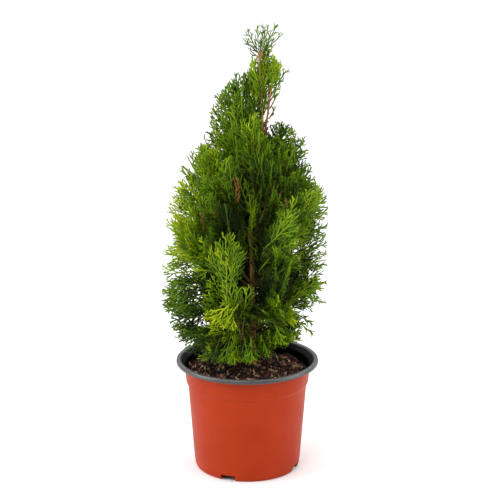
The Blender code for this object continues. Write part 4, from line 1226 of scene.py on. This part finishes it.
def allowed(shoots, t):                 # inside the crown and clear of soil and pot
    points = pointsAt(shoots, t)
    x, y, z = points[..., 0], points[..., 1], points[..., 2]
    offset = points[..., :2] - trunkCentres(z)[..., :2]
    spread = np.hypot(offset[..., 0], offset[..., 1])
    reach = crownReach(offset, spread, np.maximum(z, outlineHeights[0]))
    airyLeft = np.interp(z, growth["airyHeights"], growth["airyLeft"])
    airyRight = np.interp(z, growth["airyHeights"], growth["airyRight"])
    airy = np.where(offset[..., 0] < 0, airyLeft, airyRight)
    airy = np.where(shoots["free"][:, None], 1, airy)
    inside = spread < reach * airy * shoots["reachShare"][:, None]
    floor = np.where(np.hypot(x, y) < growth["insidePot"], growth["soilClear"], growth["rimClear"])
    inside &= z > floor
    inside &= (points > growth["boxLow"]).all(-1) & (points < growth["boxHigh"]).all(-1)
    seenAt = z + growth["sightSlope"] * y
    wave = growth["ragged"] * np.sin(seenAt * 520 + shoots["lane"][:, None])
    for left, right, bottom, top, front in growth["slots"]:
        within = (offset[..., 0] + wave > left) & (offset[..., 0] + wave < right) & (y < front)
        inside &= ~(within & (seenAt > bottom + wave) & (seenAt < top + wave)) | shoots["free"][:, None]
    for left, right, bottom, top in growth["bare"]:
        inside &= ~((x + wave > left) & (x + wave < right) & (seenAt > bottom) & (seenAt + wave < top))
    return inside


def shortened(shoots, inside):          # down to the last step that is inside
    steps = inside.shape[1]
    reached = np.where(inside.all(1), steps, inside.argmin(1))
    shoots["length"] = shoots["length"] * reached / steps


def grown(parents, rule, draw):         # a shoot that would leave the crown stays shorter
    shoots = branchOff(parents, rule, draw)
    shortened(shoots, allowed(shoots, np.linspace(0, 1, 6)[1:]))
    return pick(shoots, shoots["length"] > rule["shortest"])


def branchOff(parents, rule, draw):
    n = len(parents["length"])
    run = rule["to"] - rule["from"]
    count = np.maximum(2, np.rint(parents["length"] * run / rule["spacing"])).astype(int)
    most = count.max()
    k = np.arange(most)[None]
    shift = draw.uniform(-0.22, 0.22, (n, most))
    t = rule["from"] + run * np.clip((k + 0.5 + shift) / count[:, None], 0, 1)
    share = np.interp(t, rule["at"], rule["shares"]) * rule["share"]
    length = (share * parents["length"][:, None] + rule["extra"]) * draw.uniform(0.8, 1.15, t.shape)
    side = np.where((k + draw.integers(0, 2, (n, 1))) % 2, 1, -1)[..., None]
    angle = np.interp(t, (0, 1), rule["angles"]) + draw.normal(0, rule["angleChance"], t.shape)
    angle = np.radians(angle)[..., None]
    onward = headingsAt(parents, t)
    normal = np.broadcast_to(parents["normal"][:, None], onward.shape)
    across = unit(np.cross(normal, onward))
    tilt = draw.normal(0, rule["tilt"], t.shape)[..., None]
    heading = unit(onward * np.cos(angle) + across * side * np.sin(angle) + normal * tilt)
    roll = draw.normal(0, rule["roll"], t.shape)[..., None]
    normal = unit(np.cross(heading, np.cross(normal, heading)))
    normal = normal * np.cos(roll) + np.cross(heading, normal) * np.sin(roll)
    curve = rule["bend"] * (onward - heading) / np.maximum(length, 0.002)[..., None]
    kept = k < count[:, None]
    reachShare = parents["reachShare"][:, None] * draw.uniform(*rule["reachChance"], t.shape)
    handed = {key: np.broadcast_to(parents[key][:, None], t.shape)[kept]
              for key in ("tint", "free", "lane")}
    return {
        "start": pointsAt(parents, t)[kept], "heading": heading[kept], "curve": curve[kept],
        "normal": normal[kept], "length": length[kept], "along": t[kept],
        "width": np.full(kept.sum(), rule["width"]) * draw.uniform(0.88, 1.12, kept.sum()),
        "reachShare": np.minimum(reachShare[kept], growth["mostReach"]), **handed,
    }


# Fronds: where they root, which way they stand and how far they grow

def pointOn(line, share):
    spot = min(share, 1) * (len(line) - 1)
    leg = min(int(spot), len(line) - 2)
    return line[leg] + (line[leg + 1] - line[leg]) * (spot - leg)


def sprayPlaces(count):
    places = [(0, 1)]
    for k in range(count - 1):
        across = (2 * k + 2 - count) / (count - 1)
        share = 1 - growth["stemShare"] * abs(across) if across else growth["innerShare"]
        places.append((across, share))
    return places


def either(chance, most):
    return chance.uniform(-most, most)


def climbAt(height):
    return float(np.interp(height, growth["climbHeights"], growth["climbs"]))


def stance(azimuth, climb, roll):       # which way a frond grows and which way it faces
    outward = directions(azimuth)
    up = math.radians(climb)
    heading = outward * math.cos(up) + np.array((0, 0, math.sin(up)))
    beside = np.array((-outward[1], outward[0], 0.0))
    turn = math.radians(roll)
    normal = beside * math.cos(turn) + np.cross(heading, beside) * math.sin(turn)
    return heading, normal, beside


def frond(mass, stem, across, share, climb, roll, chance):
    foot = pointOn(stem, share)
    onward = pointOn(stem, share + growth["onward"])
    spread = float(np.hypot(*(onward - trunkCentres(onward[2]))[:2]))
    swing = either(chance, growth["swing"]) * (across != 0)
    azimuth = mass["azimuth"] + growth["sprayShare"] * across * mass["half"] + swing
    root = place(azimuth, spread, onward[2])
    heading, normal, beside = stance(float(azimuth), climb, roll)
    lift = chance.uniform(*growth["steepLifts" if climb > growth["steepFrom"] else "levelLifts"])
    curve = np.array((0, 0, lift)) + beside * either(chance, growth["sideCurve"])
    return dict(foot=foot, start=root, heading=heading, curve=curve, normal=normal,
                length=mass["blade"] * chance.uniform(*growth["lengths"]))


def frondsOf(mass, stem, line):
    chance = random.Random(mass["seed"])
    rows = []
    for k, (across, share) in enumerate(sprayPlaces(mass["sprays"])):
        climb = mass["climbs"][(k + mass["seed"]) % 2] + either(chance, growth["climbChance"])
        roll = chance.choice((-1, 1)) * chance.uniform(*growth["sprayRolls"])
        rows.append(frond(mass, stem, across, share, climb, roll, chance))
    tier = mass["name"].rstrip("_12345")
    for _ in range(growth["extras"][tier]):         # they fan out from steep at the top to level
        across = either(chance, growth["widest"])
        share = 1 - growth["stemShare"] * abs(across) * chance.uniform(0.5, 1)
        share = max(0.06, share - chance.choice(growth["setBacks"]))
        climb = climbAt(pointOn(stem, share)[2]) + either(chance, growth["extraChance"])
        flat = chance.random() < growth["flatShare"]
        roll = either(chance, growth["flatRoll"]) if flat else chance.uniform(*growth["turnedRolls"])
        rows.append(frond(mass, stem, across, share, climb, roll, chance))
    for _ in range(growth["inner"][tier]):
        climb = chance.uniform(*growth["skirtClimbs" if tier == "skirt" else "innerClimbs"])
        across = either(chance, growth["widest"])
        share = chance.uniform(*growth["innerShares"])
        rows.append(frond(mass, line, across, share, climb, either(chance, growth["innerRoll"]), chance))
    return grownFronds(rows, chance, mass)


def trunkFronds(setting):               # short ones that root on the trunk itself
    chance = random.Random(crown["seed"] + setting["seed"])
    rows = []
    for k in range(setting["count"]):
        height = chance.uniform(*setting["heights"])
        azimuth = chance.uniform(*setting["azimuths"][k % len(setting["azimuths"])])
        mass = dict(azimuth=azimuth, half=1, blade=chance.uniform(*setting["blades"]))
        stem = np.array([place(azimuth, 0.0010, height), place(azimuth, 0.0030, height + 0.004)])
        climb = chance.uniform(*setting["climbs"])
        rows.append(frond(mass, stem, 0, 0.5, climb, either(chance, growth["innerRoll"]), chance))
    return grownFronds(rows, chance, None)


def nearestLimb(lines, root):           # the nearest place on a limb below
    above = np.maximum(0, lines[:, 2] - root[2])
    gaps = np.linalg.norm(lines - root, axis=1) + 2 * above + abs(lines[:, 0] - root[0])
    return lines[gaps.argmin()]


def shownFronds(given, lines, shares=(1.0, 1.06)):      # each one by its own place
    chance = random.Random(crown["seed"] + 905)
    rows = []
    for root, heading, facing, length, tint in given:
        root = np.array(root)
        heading = unit(np.array(heading, float))
        normal = unit(np.cross(heading, np.cross(np.array(facing, float), heading)))
        rows.append(dict(foot=nearestLimb(lines, root), start=root, heading=heading, normal=normal,
                         curve=np.array((0.0, 0.0, -1.0 if heading[2] < 0 else 0.8)),
                         length=length, given=tint))
    shoots = grownFronds(rows, chance, None, shares, free=True)
    shoots["tint"] = shoots.pop("given")
    return shoots


def strandFronds(setting, lines):       # long steep ones that run up and out across the masses
    chance = random.Random(crown["seed"] + setting["seed"])
    rows = []
    for k in range(setting["count"]):
        azimuth = 137.5 * k + chance.uniform(-8, 8)
        height = chance.uniform(*setting["heights"])
        _, _, reach = measured(place(azimuth, 0.01, height))
        root = place(azimuth, float(reach) * chance.uniform(*setting["shares"]), height)
        climb = min(88, climbAt(height) + chance.uniform(*setting["steeper"]))
        heading, normal, beside = stance(azimuth, climb, chance.uniform(*setting["rolls"]))
        curve = np.array((0, 0, chance.uniform(-1.0, 1.6))) + beside * chance.uniform(-1.6, 1.6)
        rows.append(dict(foot=nearestLimb(lines, root), start=root, heading=heading, curve=curve,
                         normal=normal, length=chance.uniform(*setting["blades"])))
    return grownFronds(rows, chance, None, setting["reach"])


def grownFronds(rows, chance, mass, shares=growth["reachShares"], free=False):
    shoots = {key: np.array([row[key] for row in rows]) for key in rows[0]}
    low, high = shares                  # fewer and fewer reach further out
    shoots["reachShare"] = np.array([low + (high - low) * chance.random() ** growth["fewer"]
                                     for _ in rows])
    shoots["free"] = np.full(len(rows), free)
    shoots["lane"] = np.array([chance.uniform(0, 6.28) for _ in rows])
    t = np.linspace(0, 1, 41)[1:]
    inside = allowed(shoots, t)
    if mass is not None:
        overlap = np.array([chance.uniform(*growth["overlaps"]) for _ in rows])[:, None]
        inside &= inSpace(mass, pointsAt(shoots, t), overlap)
    shortened(shoots, inside)
    shoots["width"] = np.full(len(rows), growth["ribWidth"])
    shoots["tint"] = tintsFor(pointsAt(shoots, np.array([0.6]))[:, 0], chance)
    return pick(shoots, shoots["length"] > growth["shortest"])


def tintsFor(points, chance):           # brighter outside and darker inside and low, as painted light and painted shade; tone also shifts in patches
    offset, spread, reach = measured(points)
    tints = []
    for point, (x, y), far, most in zip(points, offset, spread, reach):
        azimuth = math.degrees(math.atan2(x, -y))
        patch = noise.noise(Vector(point) * toneShift["patchScale"] + Vector((3, 1, 7)))
        value = toneShift["middle"] + toneShift["patches"] * patch
        shade = toneShift["depth"] * min(1, max(0, (most - 0.03) / 0.04))   # painted shade deeper inside the crown, none where it's thin
        value += shade * (0.70 - min(far / max(most, 0.01), 1))
        value += toneShift["chance"] * chance.uniform(-1, 1)
        for patchAzimuth, patchHeight, width, height, tint in tonePatches:
            turn = (azimuth - patchAzimuth + 180) % 360 - 180
            near = math.exp(-(turn / width) ** 2 - ((point[2] - patchHeight) / height) ** 2)
            value += (tint - value) * min(1, 1.15 * near)
        tints.append(min(darkest, max(0, round(value))))
    return np.array(tints)


# Leaf meshes: flat pointed shoots with a ridge on both faces

ringShapes = {          # where the rings are along a shoot, and how wide it is there
    "spine": ((0.0, 0.12, 0.24, 0.36, 0.5, 0.64, 0.78, 0.92), (0.9, 1, 0.8, 1, 0.8, 0.95, 0.72, 0.7)),
    "side": ((0.0, 0.25, 0.5, 0.8), (0.8, 1.0, 0.8, 0.85)),
    "twiglet": ((0.25, 0.72), (0.95, 0.85)),
    "nub": ((0.45,), (1.0,)),
}


def leafMesh(shoots, kind):
    at, wide = (np.array(values) for values in ringShapes[kind])
    n, rings = len(shoots["length"]), len(at)
    centre = pointsAt(shoots, at)
    onward = headingsAt(shoots, at)
    normal = shoots["normal"][:, None]
    across = unit(np.cross(normal, onward))
    lift = np.cross(onward, across)
    half = shoots["width"][:, None, None] / 2 * wide[:, None]
    ring = np.stack([centre + across * half, centre + lift * half * 0.55,
                     centre - across * half, centre - lift * half * 0.55], 2)
    ends = pointsAt(shoots, np.array([0.0, 1.0]))
    points = np.concatenate([ends[:, :1], ring.reshape(n, -1, 3), ends[:, 1:]], 1)
    k = np.arange(4)
    m = (k + 1) % 4
    foot = np.stack([np.zeros(4, int), 1 + m, 1 + k], 1)
    last = 1 + 4 * (rings - 1)
    tip = np.stack([np.full(4, last + 4), last + k, last + m], 1)
    faces = [foot, tip]
    for r in range(rings - 1):
        a = 1 + 4 * r
        faces += [np.stack([a + k, a + m, a + 4 + m], 1), np.stack([a + k, a + 4 + m, a + 4 + k], 1)]
    faces = np.concatenate(faces)
    slots = np.repeat(shoots["tint"], len(faces))
    faces = (np.arange(n)[:, None, None] * points.shape[1] + faces[None]).reshape(-1, 3)
    return points.reshape(-1, 3), faces, slots


def leafMaterials():
    materials = []
    for name, colour in palette.items():
        material, tree, shader = newMaterial(name + "Leaf", leafLook["roughness"])
        shader.inputs["Base Color"].default_value = (*linear(colour), 1)
        shader.inputs["Specular IOR Level"].default_value = leafLook["specular"]
        materials.append(material)
    return materials


def shifted(shoots, draw, rule):        # painted light towards the ends and outside, painted shade within
    _, spread, reach = measured(pointsAt(shoots, np.array([0.7]))[:, 0])
    out = np.clip(spread / np.maximum(reach, 0.01), 0, 1)
    end = 0.5 * out + 0.5 * shoots["along"]
    chance = draw.uniform(0, 1, len(out))
    light = np.clip((end - toneShift["lightFrom"]) / toneShift["lightOver"], 0, 1)
    dark = np.clip((toneShift["darkFrom"] - end) / toneShift["darkOver"], 0, 1)
    step = np.where(chance < rule["lighter"] * light, -1, 0)
    step += np.where(1 - chance < rule["darker"] * dark, 1, 0)
    plain = shoots["tint"] <= darkest
    shoots["tint"] = np.where(plain, np.clip(shoots["tint"] + step, 0, darkest), shoots["tint"])


def driedBits(shoots, draw):
    middle = pointsAt(shoots, np.array([0.5]))[:, 0]
    for azimuth, spread, height, halfWidth, halfHeight, share in deadSpots:
        away = middle - place(azimuth, spread, height)
        near = (np.hypot(away[:, 0], away[:, 1]) < halfWidth) & (np.abs(away[:, 2]) < halfHeight)
        near &= draw.uniform(0, 1, len(near)) < share
        shoots["tint"] = np.where(near, brown, shoots["tint"])


def cooledTips(shoots, draw):           # the outermost tips are greyer
    tips = pointsAt(shoots, np.array([1.0]))[:, 0]
    _, spread, reach = measured(tips)
    outer = (spread > 0.93 * reach) & (draw.uniform(0, 1, len(tips)) < 0.4)
    outer &= (shoots["tint"] > 1) & (shoots["tint"] < brown)
    shoots["tint"] = np.where(outer, cool, shoots["tint"])


def makeLeaves(name, fronds, nodes, materials, seed):
    draw = np.random.default_rng(seed)
    share = sideRule["share"] * narrower.get(name, 1)
    sides = grown(fronds, dict(sideRule, share=share), draw)
    shifted(sides, draw, sideRule)
    driedBits(sides, draw)
    twiglets = grown(sides, twigletRule, draw)
    shifted(twiglets, draw, twigletRule)
    cooledTips(twiglets, draw)
    for shoots in (fronds, sides, twiglets):
        shoots["width"] = shoots["width"] * thinner.get(name, 1)
    groups = [leafMesh(fronds, "spine"), leafMesh(sides, "side"), leafMesh(twiglets, "twiglet")]
    longEnough = pick(twiglets, twiglets["length"] > nubRule["onLonger"])
    if len(longEnough["length"]):
        groups.append(leafMesh(grown(longEnough, nubRule, draw), "nub"))
    starts = np.cumsum([0] + [len(points) for points, _, _ in groups])
    points = np.concatenate([group[0] for group in groups])
    faces = np.concatenate([group[1] + start for group, start in zip(groups, starts)])
    slots = np.concatenate([group[2] for group in groups])
    piece = meshPiece("leaves_" + name, points, faces, materials, slots)
    handedOver(piece, nodes)
    print(name, len(fronds["length"]), "fronds,", len(faces), "triangles")
    return len(faces)


def twigLines(fronds):                  # from the stem to a frond's root and on along its rib
    rib = pointsAt(fronds, np.linspace(0, twig["alongRib"], 6))
    foot = fronds["foot"][:, None]
    root = fronds["start"][:, None]
    bend = twig["bend"] * np.linalg.norm(root - foot, axis=-1, keepdims=True)
    run = curved(foot, root - fronds["heading"][:, None] * bend, root, 6)[:, :-1]
    lines = np.concatenate([run, rib], 1)
    taper = np.linspace(1, twig["taper"], lines.shape[1])
    return lines, twig["radius"] * np.ones((len(lines), 1)) * taper


def growMasses():                       # the bough and fronds of each mass, and what they replace
    boughs, boughRadii, fronds, nodes = [], [], {}, {}
    for tier in tiers:
        for k, mass in enumerate(tierMasses(tier)):
            line = boughLine(mass)
            boughs.append(line)
            boughRadii.append(np.interp(np.linspace(0, 1, len(line)), (0, 0.5, 1),
                                        (0.8 * mass["radius"], 0.55 * mass["radius"], 0.0008)))
            stem = line[len(line) // 2:]
            part = tier["name"] + ("_first" if 2 * k < tier["count"] else "_second")
            fronds.setdefault(part, []).append(frondsOf(mass, stem, line))
            nodes.setdefault(part, []).append("foliage_" + mass["name"])
    nodes.update(side_leader=["foliage_side_leader"], tip=["foliage_tip"])
    return boughs, boughRadii, fronds, nodes


def makePlant():
    route, radii = trunkLine()
    leader = leaderLine()
    limb, limbRadii = smoothed(*bark["frontLimb"])
    sideStem = tuftLine(sideTuft, leader)
    tipStem = tuftLine(tipTuft, route)
    boughs, boughRadii, fronds, nodes = growMasses()
    limbs = np.concatenate(boughs + [limb])
    stems = np.concatenate([limbs, route, leader])
    fronds["skirt_second"] += [trunkFronds(setting) for setting in baseSets]
    fronds["side_leader"] = [frondsOf(sideTuft, sideStem, sideStem),
                             trunkFronds(leaderSet), trunkFronds(stemSet)]
    fronds["tip"] = [shownFronds(tipShoots, tipStem)]
    fronds["shown"] = [shownFronds(shown, limbs)]
    fronds["strands"] = [strandFronds(strandSet, limbs)]
    fronds["spikes"] = [shownFronds(spikes, stems, (1.25, 1.35)), strandFronds(spikeSet, stems)]
    twigs, twigRadii = twigLines(together([group for groups in fronds.values() for group in groups]))
    firstRadius, middleRadius, lastRadius = sideLeader["radii"]
    leaderRadii = np.linspace(firstRadius, middleRadius, len(leader))
    sideRadii = np.linspace(middleRadius, lastRadius, len(sideStem))
    boughNodes = [f"bough_{tier['name']}_{k + 1}" for tier in tiers for k in range(tier["count"])]
    sides, relief = bark["boughSides"], bark["relief"]
    woodPiece("trunk_bark", [route], [radii], bark["trunkSides"], bark["trunkLook"], ["trunk"], relief)
    woodPiece("side_leader_bark", [leader], [leaderRadii], sides, bark["leaderLook"],
              ["side_leader"], relief)
    woodPiece("bough_bark", boughs, boughRadii, sides, bark["boughLook"], boughNodes, relief)
    woodPiece("front_limb_bark", [limb], [limbRadii], sides, bark["limbLook"], [], relief)
    woodPiece("twigs", twigs, twigRadii, twig["sides"], bark["twigLook"], [], 0)
    woodPiece("side_tuft_stem", [sideStem], [sideRadii], 6, bark["leaderLook"], [], 0)
    woodPiece("tip_stem", [tipStem], [bark["tipRadii"]], 10, bark["tipLook"], [], 0.1)
    print("wood made")
    materials = leafMaterials()
    total = 0
    for k, (name, groups) in enumerate(fronds.items()):
        total += makeLeaves(name, together(groups), nodes.get(name, []), materials, 60 + k)
    print("leaves have", total, "triangles in all")


makePlant()
